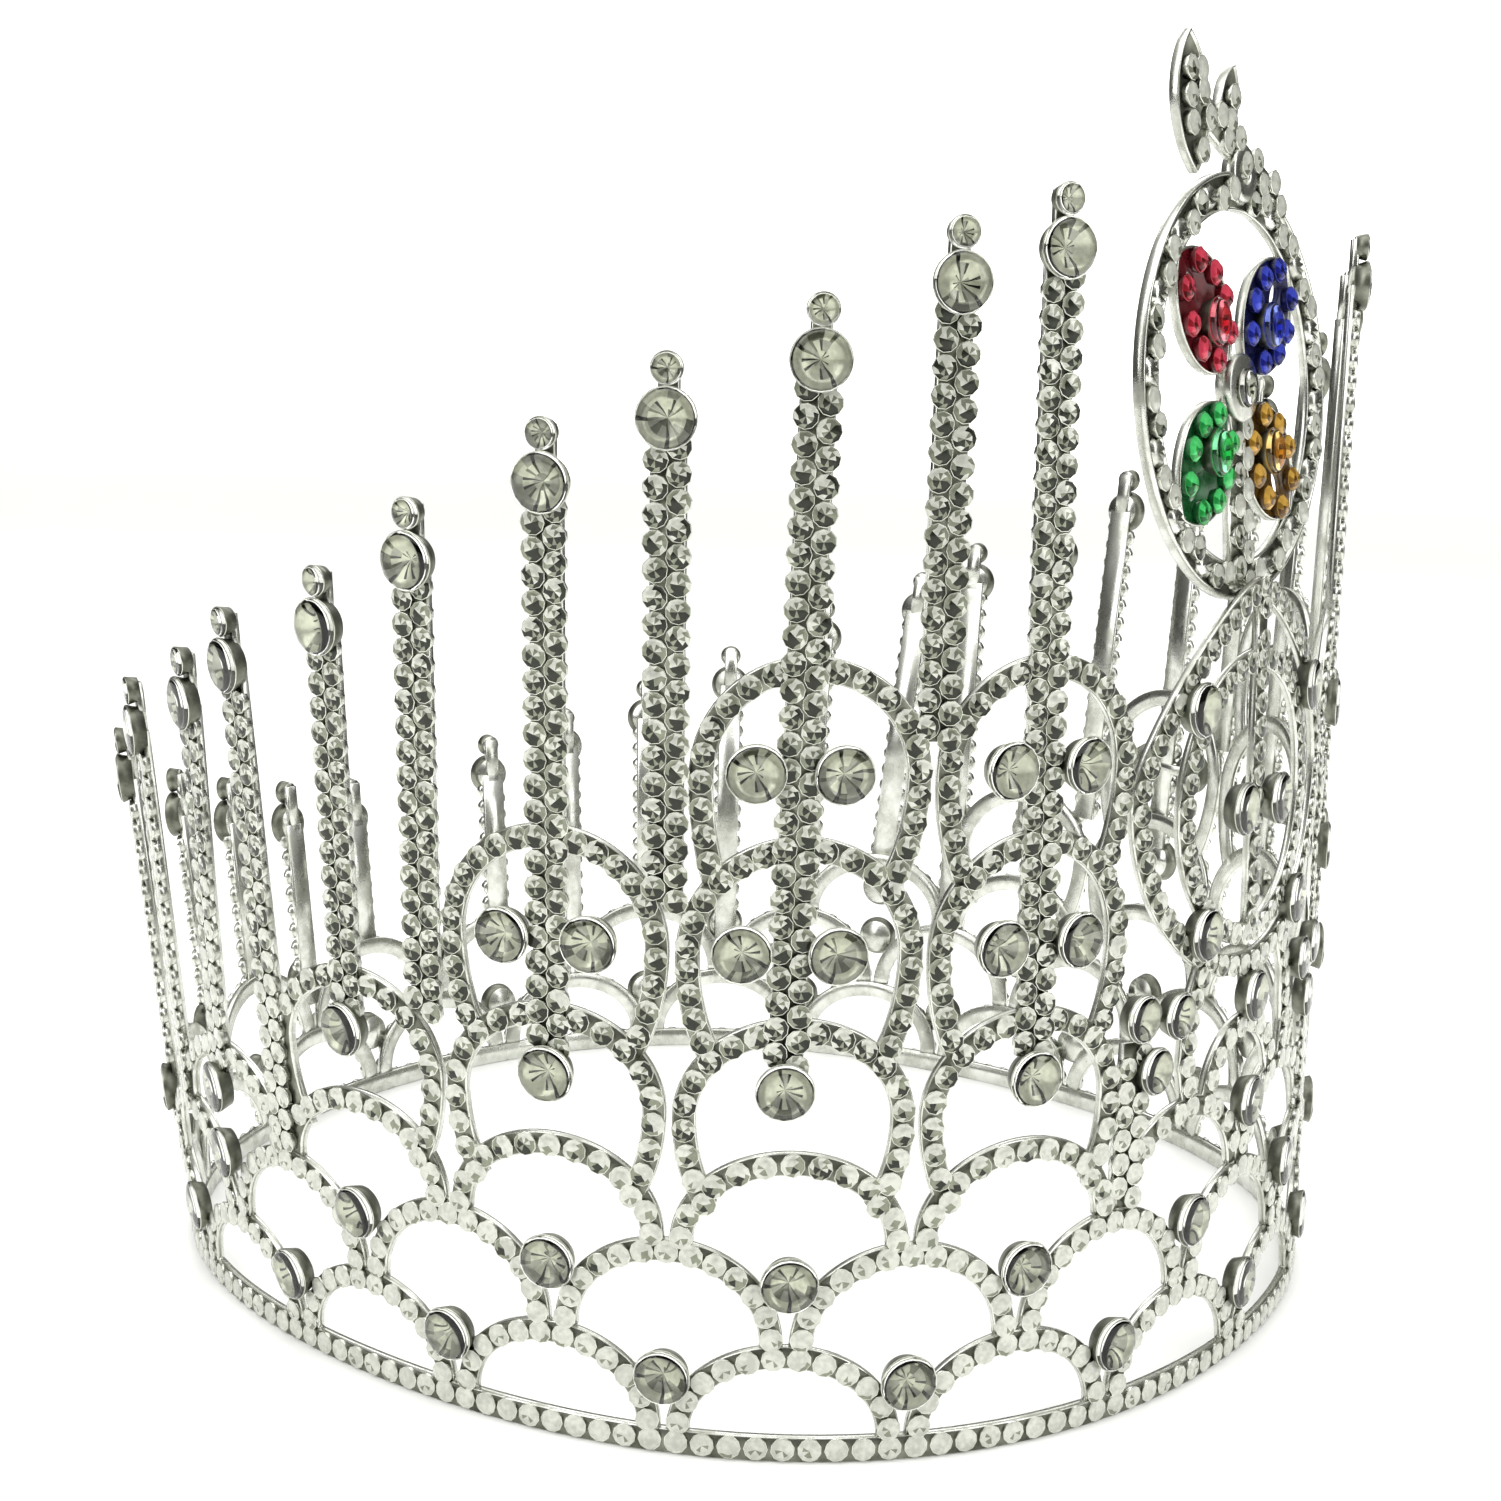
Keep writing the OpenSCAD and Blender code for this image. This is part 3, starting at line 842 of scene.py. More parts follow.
@dataclass(frozen=True)
class Shell:
    """The crown's outer face. A place on it is a column (an eighteenth of a turn, 0 in front) and a height."""

    base_r: float = 80.0
    plan_oval: float = 0.019
    plan_square: float = 0.018
    flare: float = 0.070
    flare_front: float = 0.074
    flare_side: float = 0.024
    columns: int = 18

    def angle(self, column: Floats) -> Floats:
        """The angle of a column round the crown, in radians."""
        return np.asarray(column) * 2 * np.pi / self.columns

    def radius(self, column: Floats, height: Floats) -> Floats:
        """Distance of the outer face from the axis.

        The plan at the floor is a circle with an oval term in twice the angle and a squareness term in four times
        the angle. Above it the face flares in a straight line, less in front and more at the back.

        Args:
            column: Columns.
            height: Heights in millimetres.

        Returns:
            Radii in millimetres.
        """
        a = self.angle(column)
        plan = self.base_r * (1 + self.plan_oval * np.cos(2 * a) - self.plan_square * np.cos(4 * a))
        return plan + height * self.slope(column)

    def slope(self, column: Floats) -> Floats:
        """How far the outer face leans outwards at a column, in millimetres for each millimetre of height."""
        a = self.angle(column)
        return self.flare - self.flare_front * np.cos(a) - self.flare_side * np.cos(2 * a)

    def lying(self, column: Floats, height: Floats, on_post: bool) -> tuple[Floats, Floats]:
        """Directions of a stone that lies on the shell or on a post: up along it, and straight out of it.

        Up is the vertical plus the outward direction times the slope. The level way to the next column is square to
        the outward direction on a post, and else the difference of two near points of the shell. Out is the cross
        product of the level way and up.

        Args:
            column: Columns.
            height: Heights.
            on_post: Whether the stone lies on the flat face of a post.

        Returns:
            Unit vectors up and out.
        """
        out = self.outward(column)
        up = unit(UP + out * self.slope(column)[..., None])
        if on_post:
            level = np.stack([-out[..., 1], out[..., 0], out[..., 2]], axis=-1)
        else:
            level = unit(self.point(column + 0.01, height) - self.point(column - 0.01, height))
        return up, unit(np.cross(level, up))

    def outward(self, column: Floats) -> Floats:
        """Horizontal directions out of the crown: the sine and minus the cosine of the column's angle."""
        a = self.angle(column)
        return np.stack([np.sin(a), -np.cos(a), np.zeros_like(a)], axis=-1)

    def point(self, column: Floats, height: Floats, out: Floats | float = 0.0) -> Floats:
        """Points on the outer face, or a distance out from it: the outward direction times the radius.

        Args:
            column: Columns.
            height: Heights.
            out: Distance outwards.

        Returns:
            Points along the last axis.
        """
        column, height = np.broadcast_arrays(np.asarray(column, float), np.asarray(height, float))
        points = self.outward(column) * (self.radius(column, height) + out)[..., None]
        points[..., 2] = height
        return points

    def column_width(self, column: float, height: float) -> float:
        """Width of one column at a height."""
        return float(self.radius(np.float64(column), np.float64(height))) * 2 * math.pi / self.columns

    def front(self, x: Floats | float) -> Floats | float:
        """Column of a place given in millimetres from the centre line of the front."""
        return x / (self.base_r * 2 * math.pi / self.columns)


@dataclass(frozen=True)
class Route:
    """A line on the shell: its columns and heights. A closed route ends where it starts."""

    columns: Floats
    heights: Floats
    closed: bool = False

    def points(self, shell: Shell, out: float = 0.0) -> Floats:
        """Points of the route on the shell."""
        return shell.point(self.columns, self.heights, out)

    def frames(self, shell: Shell) -> tuple[Floats, Floats, Floats]:
        """Directions along the route, across it and out of the shell.

        The direction along is the difference of the neighbours, across is its cross product with the horizontal
        outward direction, and the facing is the cross product of across and along.

        Args:
            shell: The shell that the route lies on.

        Returns:
            Unit vectors along, across and facing.
        """
        p = self.points(shell)
        if self.closed:
            q = p[:-1]
            step = np.roll(q, -1, axis=0) - np.roll(q, 1, axis=0)
            step = np.concatenate([step, step[:1]])
        else:
            step = np.concatenate([p[1:2] - p[:1], p[2:] - p[:-2], p[-1:] - p[-2:-1]])
        along = unit(step)
        across = unit(np.cross(along, shell.outward(self.columns)))
        return along, across, np.cross(across, along)

    def reach(self, shell: Shell, out: float = 0.0) -> Floats:
        """Length of the line up to each of its points."""
        return np.concatenate([[0.0], np.cumsum(np.linalg.norm(np.diff(self.points(shell, out), axis=0), axis=1))])

    def sampled(self, shell: Shell, at: Floats, out: float = 0.0) -> Spots:
        """Places at distances along the line; on a closed route they are taken modulo its length.

        Points and directions are interpolated by the length. The facing then loses its part along the line, which is
        the direction along times its dot product with the facing.

        Args:
            shell: The shell.
            at: The distances.
            out: Distance by which the places lie out from the shell.

        Returns:
            The places.
        """
        reach = self.reach(shell, out)
        along, _, facing = self.frames(shell)
        table = np.column_stack([self.points(shell, out), along, facing])
        at = at % reach[-1] if self.closed else at
        rows = np.stack([np.interp(at, reach, table[:, k]) for k in range(9)], axis=1)
        way, facing = unit(rows[:, 3:6]), rows[:, 6:9]
        return Spots(rows[:, :3], way, unit(facing - way * np.einsum("ij,ij->i", facing, way)[:, None]))

    def spots(self, shell: Shell, pitch: float, shift: float) -> Spots:
        """Places for settings along the route, evenly spaced by the length of the line.

        The number of stones is the length over the pitch plus a quarter, rounded down, and the spacing takes up what
        is left over or lacking.

        Args:
            shell: The shell.
            pitch: Distance between two stones.
            shift: Distance by which all places move along.

        Returns:
            The places.
        """
        length = self.reach(shell)[-1]
        count = max(1, int(length / pitch + 0.25))
        return self.sampled(shell, (np.arange(count) + 0.5) * length / count + shift)


def lofted(rings: Floats, kinds: Ints, closed: bool, ends: tuple[int, int]) -> MeshData:
    """Rings of points, each joined to the next by four-sided faces.

    Args:
        rings: The points, (rings, points of a ring, 3).
        kinds: Slots of the faces, one for each band, for each side or for each face.
        closed: True if the last ring is joined to the first; else both get a flat face.
        ends: Slots of the first and the last ring's flat faces.

    Returns:
        The closed mesh, faces outwards.
    """
    total, count = rings.shape[:2]
    bands = total if closed else total - 1
    low, high = np.arange(bands)[:, None] * count, (np.arange(1, bands + 1) % total)[:, None] * count
    here = np.arange(count)
    after = (here + 1) % count
    quads = np.stack([low + here, low + after, high + after, high + here], axis=2)
    corners, sizes = [quads.ravel()], [np.full(bands * count, 4)]
    slots = [np.broadcast_to(kinds, (bands, count)).ravel()]
    if not closed:
        corners += [here[::-1], (total - 1) * count + here]
        sizes.append(np.array([count, count]))
        slots.append(np.array(ends))
    points = rings.reshape(-1, 3)
    return MeshData(points, np.concatenate(corners), np.concatenate(sizes), np.concatenate(slots)).facing_out()


def swept(
    centre: Floats, across: Floats, outward: Floats, profile: Floats, slots: Sequence[int], closed: bool
) -> MeshData:
    """A profile carried along a line: each section is the centre plus the profile's x across and its y outwards.

    Args:
        centre: Points of the line.
        across: Directions of the profile's x.
        outward: Directions of the profile's y.
        profile: Corners of the profile, (n, 2).
        slots: Slot of each of the profile's sides.
        closed: True if the last point repeats the first.

    Returns:
        The closed mesh, faces outwards.
    """
    centre, across, outward = (rows[:-1, None, :] if closed else rows[:, None, :] for rows in (centre, across, outward))
    rings = centre + across * profile[None, :, 0:1] + outward * profile[None, :, 1:2]
    return lofted(rings, np.array(slots), closed, (slots[0], slots[0]))


def slab(width: float, back: float, front: float, chamfer: float) -> tuple[Floats, list[int]]:
    """Profile of a metal strip: a rectangle with cut corners, its front side behind the stones painted darker as shade.

    Args:
        width: Full width.
        back: Depth of its back, as a distance outwards.
        front: Depth of its front.
        chamfer: Size of the cut corners.

    Returns:
        The profile's corners and the slot of each side.
    """
    w, c = width / 2, chamfer
    profile = [
        (-w, back + c), (-w, front - c), (-w + c, front), (w - c, front),
        (w, front - c), (w, back + c), (w - c, back), (-w + c, back),
    ]
    metal, recess = Slot.METAL, Slot.RECESS
    return np.array(profile), [metal, metal, recess, metal, metal, metal, metal, metal]


@dataclass
class StripKit:
    """What all of the crown is made with: the finishes, the shell, the strips' sizes and the small setting."""

    finishes: Finishes
    shell: Shell = field(default_factory=Shell)
    width: float = 3.1
    back: float = -1.8
    front: float = -0.8
    chamfer: float = 0.18
    spare: float = 0.36
    pitch: float = 2.93
    small: Setting = Setting(1.46, -1.3, -0.30, -0.12, 0.10, 10)

    def strip(self, route: Route, width: float | None = None, proud: float = 0.0) -> MeshData:
        """The metal of one strip.

        Args:
            route: Its line.
            width: Its width, if not the usual one.
            proud: Distance by which it stands out further.

        Returns:
            The mesh.
        """
        _, across, _ = route.frames(self.shell)
        profile, slots = slab((width or self.width) - self.spare, self.back, self.front, self.chamfer)
        profile = profile + np.array([0.0, proud])
        outward = self.shell.outward(route.columns)
        return swept(route.points(self.shell), across, outward, profile, slots, route.closed)

    def set_stones(
        self, node: str, names: tuple[str, str], setting: Setting, spots: Spots, stone: Stone, level: float
    ) -> None:
        """Makes the cups of one node of stones with their foil, and the glass of rich ones.

        Args:
            node: The node that they stand for.
            names: Names of the cups' piece and the glass.
            setting: Shape of the setting.
            spots: Places.
            stone: Colour.
            level: Level of the facets' painted light, 0 for dark and 1 for pale.
        """
        cups = setting.cups(spots, even=level).make(names[0], self.finishes.setting(stone))
        dressed(cups, "silver_metal" if setting.rich else stone.value, node)
        if setting.rich:
            glass = setting.glass().copies(spots).make(names[1], [self.finishes.glass[stone]])
            dressed(glass, stone.value, node)


def arch(shell: Shell, column: float, foot: float, top: float, inset: float, steps: int = 40) -> Route:
    """A half-round arch: the column runs with the cosine and the height with the sine of the same angle.

    Args:
        shell: The shell.
        column: Its middle column.
        foot: Height of its feet.
        top: Height of its top.
        inset: Distance of the strip's middle from the line between two columns.
        steps: Number of steps.

    Returns:
        The arch's line.
    """
    a = np.linspace(0, np.pi, steps + 1)
    half = 0.5 - inset / shell.column_width(column, foot)
    return Route(column - half * np.cos(a), foot + (top - foot) * np.sin(a))


def horseshoe(
    shell: Shell, column: float, touch: float, top: float, foot: float, insets: tuple[float, float], lean: float = 0.34
) -> Route:
    """A hoop that is widest where it touches its neighbours and closes in to its feet.

    The upper part is half an ellipse, and the lower part goes on along a second ellipse until the line is lean
    columns from the middle.

    Args:
        shell: The shell.
        column: Its middle column.
        touch: Height of its widest place.
        top: Height of its top.
        foot: Height of its feet.
        insets: Distances of its left and right flank from the lines between the columns.
        lean: Distance of a foot from the middle, in columns.

    Returns:
        The hoop's line.
    """
    halves = [0.5 - inset / shell.column_width(column, touch) for inset in insets]
    unders = [math.acos(lean / half) for half in halves]
    left, right = (np.linspace(0, under, 9)[1:] for under in unders)
    a = np.concatenate([-left[::-1], np.linspace(0, np.pi, 41), np.pi + right])
    side = (np.cos(a) < 0).astype(int)
    drop = (touch - foot) / np.sin(unders)[side]
    rise = np.where((a < 0) | (a > np.pi), drop, top - touch)
    return Route(column - np.array(halves)[side] * np.cos(a), touch + rise * np.sin(a))


def line(start: tuple[float, float], end: tuple[float, float], steps: int = 2) -> Route:
    """A straight line between two (column, height) places."""
    return Route(np.linspace(start[0], end[0], steps + 1), np.linspace(start[1], end[1], steps + 1))


def dressed(piece: bpy.types.Object, slot: str, *nodes: str) -> None:
    """Puts a finished piece on the crown's body, in the place of its CAD nodes.

    Args:
        piece: The piece.
        slot: The record's material slot; not used.
        nodes: CAD nodes that it stands for.
    """
    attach(piece, "root")
    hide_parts(*nodes)
    log.info("%s: %d faces, replaces %s", piece.name, len(piece.data.polygons), ", ".join(nodes))


# Sub-assemblies


@dataclass
class LargeStones:
    """The large clear stones of the shell, in the groups of the record's nodes."""

    kit: StripKit
    size: float = 6.8
    tip_size: float = 3.7
    trefoil_size: float = 6.0
    tip_rise: float = 5.2
    post_end: float = 1.0
    front_reach: float = 5.3
    bar_proud: float = 0.2
    # Level of the painted light of the large stones' facets.
    level: float = 0.75
    posts: tuple[tuple[float, float, float, float], ...] = (
        (1.55, 138.5, 48.0, 1.5), (2.0, 134.3, 85.0, 2.0), (2.51, 125.8, 48.0, 2.545), (3.05, 119.3, 66.5, 3.03),
        (3.5, 112.1, 48.0, 3.5), (4.04, 102.8, 50.0, 4.08), (4.48, 94.4, 48.0, 4.5), (5.03, 88.2, 28.0, 5.0),
        (5.36, 82.3, 32.5, 5.5), (5.95, 76.2, 25.3, 6.0), (6.5, 66.8, 18.5, 6.5), (7.0, 60.5, 25.3, 7.0),
        (7.5, 55.5, 18.5, 7.5), (8.0, 51.5, 25.3, 8.0), (8.5, 48.5, 18.5, 8.5), (9.0, 47.0, 25.3, 9.0),
    )
    pendants: tuple[tuple[float, float], ...] = ((1.5, 45.5), (2.545, 45.5), (3.5, 45.5), (4.5, 46.0), (5.5, 31.5))
    pairs: tuple[tuple[float, float, float], ...] = (
        (1.5, 81.6, 5.2), (2.53, 81.6, 4.8), (1.5, 61.3, 5.3), (2.545, 61.3, 5.3), (3.5, 61.3, 5.2),
    )
    front: tuple[tuple[float, float], ...] = ((16.6, 86.4), (13.6, 58.6), (5.3, 73.1), (0.0, 48.4), (0.0, 34.6))
    trefoils: tuple[tuple[float, float], ...] = ((25.6, 50.2), (18.6, 49.4), (22.8, 43.3))
    valley_1: float = 10.2
    valley_2: float = 22.5

    def at(self, places: Sequence[tuple[float, float]], on_post: bool = False) -> Spots:
        """Places of stones that lie on the shell's bars or on its posts.

        Args:
            places: (column, height) pairs.
            on_post: Whether they lie on the flat faces of the posts.

        Returns:
            The places.
        """
        table = np.array(places, float)
        up, out = self.kit.shell.lying(table[:, 0], table[:, 1], on_post)
        return Spots(self.kit.shell.point(table[:, 0], table[:, 1]) + out * self.bar_proud, up, out)

    def post_line(self, post: tuple[float, ...], low: float, high: float) -> Route:
        """The middle line of a post between two heights.

        The post is straight from its foot to its top, so the column runs evenly with the height.

        Args:
            post: Column of its top, height of its large stone, height and column of its foot.
            low: Lower height.
            high: Upper height.

        Returns:
            The line.
        """
        column, stone_z, foot_z, foot_column = post
        share = (np.array([low, high]) - foot_z) / (stone_z + self.tip_rise + self.post_end - foot_z)
        ends = foot_column + (column - foot_column) * share
        return line((float(ends[0]), low), (float(ends[1]), high))

    def on_posts(self, rise: float) -> list[tuple[float, float]]:
        """Places on the posts' middle lines at a distance above their large stones."""
        lines = [self.post_line(p, p[1] + rise, p[1] + rise) for p in self.posts_all()]
        return [(float(r.columns[0]), float(r.heights[0])) for r in lines]

    def posts_all(self) -> list[tuple[float, ...]]:
        """The posts of both sides, with both of their columns mirrored."""
        return [(top, z, foot_z, math.copysign(foot, top)) for top, z, foot_z, foot in self.both(self.posts)]

    @staticmethod
    def both(places: Sequence[tuple[float, ...]]) -> list[tuple[float, ...]]:
        """The places with their mirror images; those on the centre line or at the very back stay single."""
        return [(s * p[0], *p[1:]) for p in places for s in (SIDES if p[0] not in (0.0, BACK) else (1.0,))]

    def groups(self) -> dict[str, tuple[Spots, float]]:
        """The places and the width of the stones of each node.

        Returns:
            Places and width by node name.
        """
        shell, columns = self.kit.shell, range(self.kit.shell.columns)
        front_of = [(float(shell.front(x)), z) for x, z in self.both(self.front)]
        trefoil_of = [(float(shell.front(x)), z) for x, z in self.both(self.trefoils)]
        pair_of = [
            (m + s * reach / shell.column_width(m, z), z) for m, z, reach in self.both(self.pairs) for s in SIDES
        ]
        return {
            "row_1_stones": (self.at([(i - BACK, self.valley_1) for i in columns]), self.size),
            "row_2_stones": (self.at([(i - BACK + 0.5, self.valley_2) for i in columns], True), self.size),
            "hoop_pair_stones": (self.at(pair_of), self.size),
            "pendant_stones": (self.at(self.both(self.pendants), True), self.size),
            "post_stones": (self.at(self.on_posts(0.0), True), self.size),
            "post_tip_stones": (self.at(self.on_posts(self.tip_rise), True), self.tip_size),
            "front_stones": (self.at(front_of), self.size),
            "trefoil_stones": (self.at(trefoil_of), self.trefoil_size),
        }

    @staticmethod
    def setting(size: float) -> Setting:
        """The cup and stone of a large stone of a given width."""
        return Setting(size / 2, -1.3, 0.09 * size, 0.15 * size, bezel=0.11, sides=36, table_share=0.6, rich=True)

    def build(self) -> None:
        """Makes each group's cups with their foil, and the glass of its stones."""
        for node, (spots, size) in self.groups().items():
            names = (node.replace("stones", "cups"), node.replace("stones", "glass"))
            self.kit.set_stones(node, names, self.setting(size), spots, Stone.CLEAR, self.level)

    def centres(self) -> Floats:
        """Centres of all large stones, for the small settings to keep clear of."""
        groups = self.groups().values()
        return np.concatenate([np.column_stack([s.centres, np.full(len(s.centres), w / 2)]) for s, w in groups])


@dataclass
class Packing:
    """The settings placed so far. Each new row fills the free stretches of its strip evenly, side by side."""

    shell: Shell
    pitch: float
    large: Floats
    over_large: float = -0.6
    apart: float = 2.36
    squeeze: float = 0.8
    slack: float = 0.36
    step: float = 0.1
    end: float = 0.5
    small: list[Floats] = field(default_factory=list)

    def free(self, points: Floats) -> NDArray[np.bool_]:
        """Which points are clear of all settings.

        A point is clear where its distance to each large stone is more than the stone's radius and a little, and
        its distance to each small one more than the least distance apart.

        Args:
            points: The points.

        Returns:
            True for each clear point.
        """
        gaps = np.linalg.norm(points[:, None, :] - self.large[None, :, :3], axis=2) - self.large[None, :, 3]
        clear = gaps.min(axis=1) > self.over_large
        if self.small:
            gaps = np.linalg.norm(points[:, None, :] - np.concatenate(self.small)[None, :, :], axis=2)
            clear &= gaps.min(axis=1) > self.apart
        return clear

    def kept(self, spots: Spots) -> Spots:
        """The places that are clear, which are noted for the rows after them.

        Args:
            spots: The places.

        Returns:
            Those of them that are clear.
        """
        spots = spots.chosen(self.free(spots.centres))
        self.small.append(spots.centres)
        return spots

    def count(self, length: float) -> int:
        """How many stones a clear run of a length takes.

        There is one more than the length over the pitch plus a slack, rounded down, and a single stone where two
        would have to be squeezed too much.

        Args:
            length: Distance of the run's last place from its first.

        Returns:
            The number of stones.
        """
        if length < self.squeeze * self.pitch:
            return 1
        return int(length / self.pitch + self.slack) + 1

    def row(self, route: Route, proud: float = 0.0) -> Spots:
        """One row of settings along a route.

        The route is sampled in fine steps. Each run of clear samples takes evenly spaced stones from one of its ends
        to the other, and a lone stone stands in its middle.

        Args:
            route: The strip's line.
            proud: Distance by which the strip stands out.

        Returns:
            The places.
        """
        length = route.reach(self.shell, proud)[-1]
        low, high = (0.0, length) if route.closed else (self.end, length - self.end)
        fine = np.arange(low, high, self.step)
        clear = self.free(route.sampled(self.shell, fine, proud).centres)
        if route.closed and clear.all():
            count = round(length / self.pitch)
            return self.kept(route.sampled(self.shell, np.arange(count) * length / count, proud))
        if route.closed:
            start = int(np.argmin(clear))
            clear, fine = np.roll(clear, -start), fine + start * self.step
        bounds = np.flatnonzero(np.diff(np.concatenate([[False], clear, [False]]).astype(int)))
        runs = [
            np.linspace(fine[a], fine[b - 1], count) if count > 1 else np.array([(fine[a] + fine[b - 1]) / 2])
            for a, b in bounds.reshape(-1, 2)
            for count in (self.count((b - 1 - a) * self.step),)
        ]
        spots = route.sampled(self.shell, np.concatenate([*runs, np.zeros(0)]), proud)
        self.small.append(spots.centres)
        return spots

    def double_row(self, route: Route, gauge: float, pitch: float, proud: float) -> Spots:
        """Two staggered rows along a post, and single stones on its middle line where large stones narrow it.

        Of eight ways to start the rows, shifted and mirrored, the one with the most clear places is taken.

        Args:
            route: The post's middle line.
            gauge: Distance of each row from it.
            pitch: Distance of two stones of one row.
            proud: Distance by which the post stands out.

        Returns:
            The places.
        """
        ways = []
        for shift in np.arange(-2, 2) * pitch / 8:
            rows = route.spots(self.shell, pitch / 2, shift)
            swing = np.where(np.arange(len(rows.centres)) % 2 == 0, gauge, -gauge)
            ways += [rows.shifted(side * swing, proud) for side in SIDES]
        best = max(ways, key=lambda way: int(self.free(way.centres).sum()))
        return Spots.joined([self.kept(best), self.row(route, proud)])


@dataclass
class Lattice:
    """The soldered strips of the crown with their small settings: band, arches, hoops, posts and front."""

    kit: StripKit
    stones: LargeStones
    band_h: float = 3.3
    band_spare: float = 0.2
    band_proud: float = 0.15
    band_raise: float = 0.1
    band_stones: int = 9
    arch_tops: tuple[float, float, float] = (13.0, 25.3, 36.5)
    foot_sink: float = 0.3
    strip_half: float = 1.65
    hoop_rows: tuple[tuple[float, float, float, float], ...] = (
        (41.6, 52.2, 31.0, 4.5), (60.6, 73.0, 48.6, 3.5), (81.0, 93.0, 68.8, 2.5),
    )
    inset: float = 1.72
    beside_posts: tuple[float, float, float] = (1.72, 1.9, 2.8)
    pair_bar_w: float = 2.0
    pair_bar_proud: float = 0.1
    post_w: float = 4.3
    post_neck: float = 2.7
    neck_sink: float = 1.0
    row_ends: tuple[float, float] = (0.2, 1.5)
    post_pitch: float = 2.92
    post_gauge: float = 1.275
    loop: tuple[float, float, float, float, float] = (76.5, 26.6, 23.5, 24.0, 1.4)
    ring: tuple[float, float] = (73.8, 17.4)
    front_drop: tuple[tuple[float, float], ...] = ((11.0, 55.4), (14.4, 49.0), (15.0, 42.0), (13.6, 36.2))
    under_loop: float = 46.5
    over_arch: float = 36.0
    front_upright_w: float = 3.0
    front_bar_w: float = 2.0
    side_bar_w: float = 2.1
    front_bars: tuple[tuple[float, float, float, float], ...] = (
        (13.4, 83.9, 19.6, 88.6), (11.3, 61.2, 15.4, 56.4), (27.5, 49.6, 14.4, 49.0),
    )
    front_post: tuple[float, float, float, float] = (26.6, 28.0, 25.6, 47.0)
    front_arch: tuple[float, float, float] = (9.6, 35.6, 44.6)
    loop_steps: int = 120
    ring_steps: int = 80
    steps: int = 24
    hoop_first: float = 1.5
    arch_last: tuple[float, float] = (8.5, 5.5)

    def __post_init__(self) -> None:
        """Starts the packing of the small settings beside the large stones."""
        self.packing = Packing(self.kit.shell, self.kit.pitch, self.stones.centres())

    @staticmethod
    def _half_columns(first: float, last: float) -> list[float]:
        """Columns on both sides of the front, from the first to the last."""
        return [float(s * m) for m in np.arange(first, last + 0.1) for s in SIDES]

    def _finish(self, name: str, plates: Sequence[MeshData], spots: Spots) -> None:
        """Makes a group of strips: the metal, the cups and the small stones in one piece.

        Args:
            name: Name of the group.
            plates: Meshes of its strips.
            spots: Places of its settings.
        """
        log.info("%s: %d small settings", name, len(spots.centres))
        mesh = MeshData.joined([*plates, self.kit.small.cups(spots)])
        dressed(mesh.make(name, self.kit.finishes.setting(Stone.CLEAR)), "silver_metal", "crown_frame")

    def _strips(self, name: str, routes: Sequence[Route]) -> None:
        """Makes a group of strips that each carry one row of small stones."""
        spots = Spots.joined([self.packing.row(r) for r in routes])
        self._finish(name, [self.kit.strip(r) for r in routes], spots)

    def posts(self) -> None:
        """The upright posts, with two staggered rows of small stones, and the short bars beside them."""
        stones, shell, plates, spots = self.stones, self.kit.shell, [], []
        for post in stones.posts_all():
            _, z, foot, _ = post
            neck = stones.post_line(post, z - self.neck_sink, z + stones.tip_rise + stones.post_end)
            plates.append(self.kit.strip(stones.post_line(post, foot, z), self.post_w, stones.bar_proud))
            plates.append(self.kit.strip(neck, self.post_neck, stones.bar_proud))
            rows = stones.post_line(post, foot + self.row_ends[0], z - self.row_ends[1])
            spots.append(self.packing.double_row(rows, self.post_gauge, self.post_pitch, stones.bar_proud))
        for m, z, wide in stones.both(stones.pairs):
            reach = wide / shell.column_width(m, z)
            plates.append(self.kit.strip(line((m - reach, z), (m + reach, z)), self.pair_bar_w, self.pair_bar_proud))
        self._finish("posts", plates, Spots.joined(spots))

    def _flat(self, x: Floats, z: Floats, closed: bool = False) -> Route:
        """A line on the front, given in millimetres to the right and upwards."""
        return Route(self.kit.shell.front(x), z, closed)

    def _bar(self, x0: float, z0: float, x1: float, z1: float) -> Route:
        """A straight line on the front between two places given in millimetres."""
        return line((self.kit.shell.front(x0), z0), (self.kit.shell.front(x1), z1))

    def front(self) -> None:
        """The front: a pointed loop, a ring inside it, an upright, a small arch and the trefoils' stands.

        The lower part of the loop is half an ellipse. The upper one comes to a point: its reach in the direction
        (cos, sin) is (|cos|^p + sin^p)^(-1/p).
        """
        strip, row, proud = self.kit.strip, self.packing.row, self.stones.bar_proud
        loop_z, loop_w, rise, drop, point = self.loop
        a = np.linspace(0, 2 * np.pi, self.loop_steps + 1) - np.pi / 2
        s, c = np.sin(a), np.cos(a)
        reach = np.where(s > 0, (np.abs(c) ** point + np.maximum(s, 0) ** point) ** (-1 / point), 1.0)
        loop = self._flat(loop_w * reach * c, loop_z + np.where(s > 0, rise, drop) * reach * s, True)
        ring_z, ring_r = self.ring
        turn = np.linspace(0, 2 * np.pi, self.ring_steps + 1)
        ring = self._flat(ring_r * np.sin(turn), ring_z + ring_r * np.cos(turn), True)
        half, foot, top = self.front_arch
        b = np.linspace(0, np.pi, self.steps + 1)
        routes = [loop, ring, self._flat(-half * np.cos(b), foot + (top - foot) * np.sin(b))]
        plates = [strip(r) for r in routes]
        spots = [row(r) for r in routes]
        under, over = (self.under_loop, loop_z - drop), (self.arch_tops[1], self.over_arch)
        for low, high in ((ring_z - ring_r, loop_z + rise), under, over):
            route = line((0.0, low), (0.0, high))
            plates.append(strip(route, self.front_upright_w, proud))
            spots.append(row(route, proud))
        across = self.stones.front_reach
        plates.append(strip(self._bar(-across, ring_z, across, ring_z), self.front_bar_w))
        drop_line = np.array(self.front_drop)
        at = np.arange(len(drop_line))
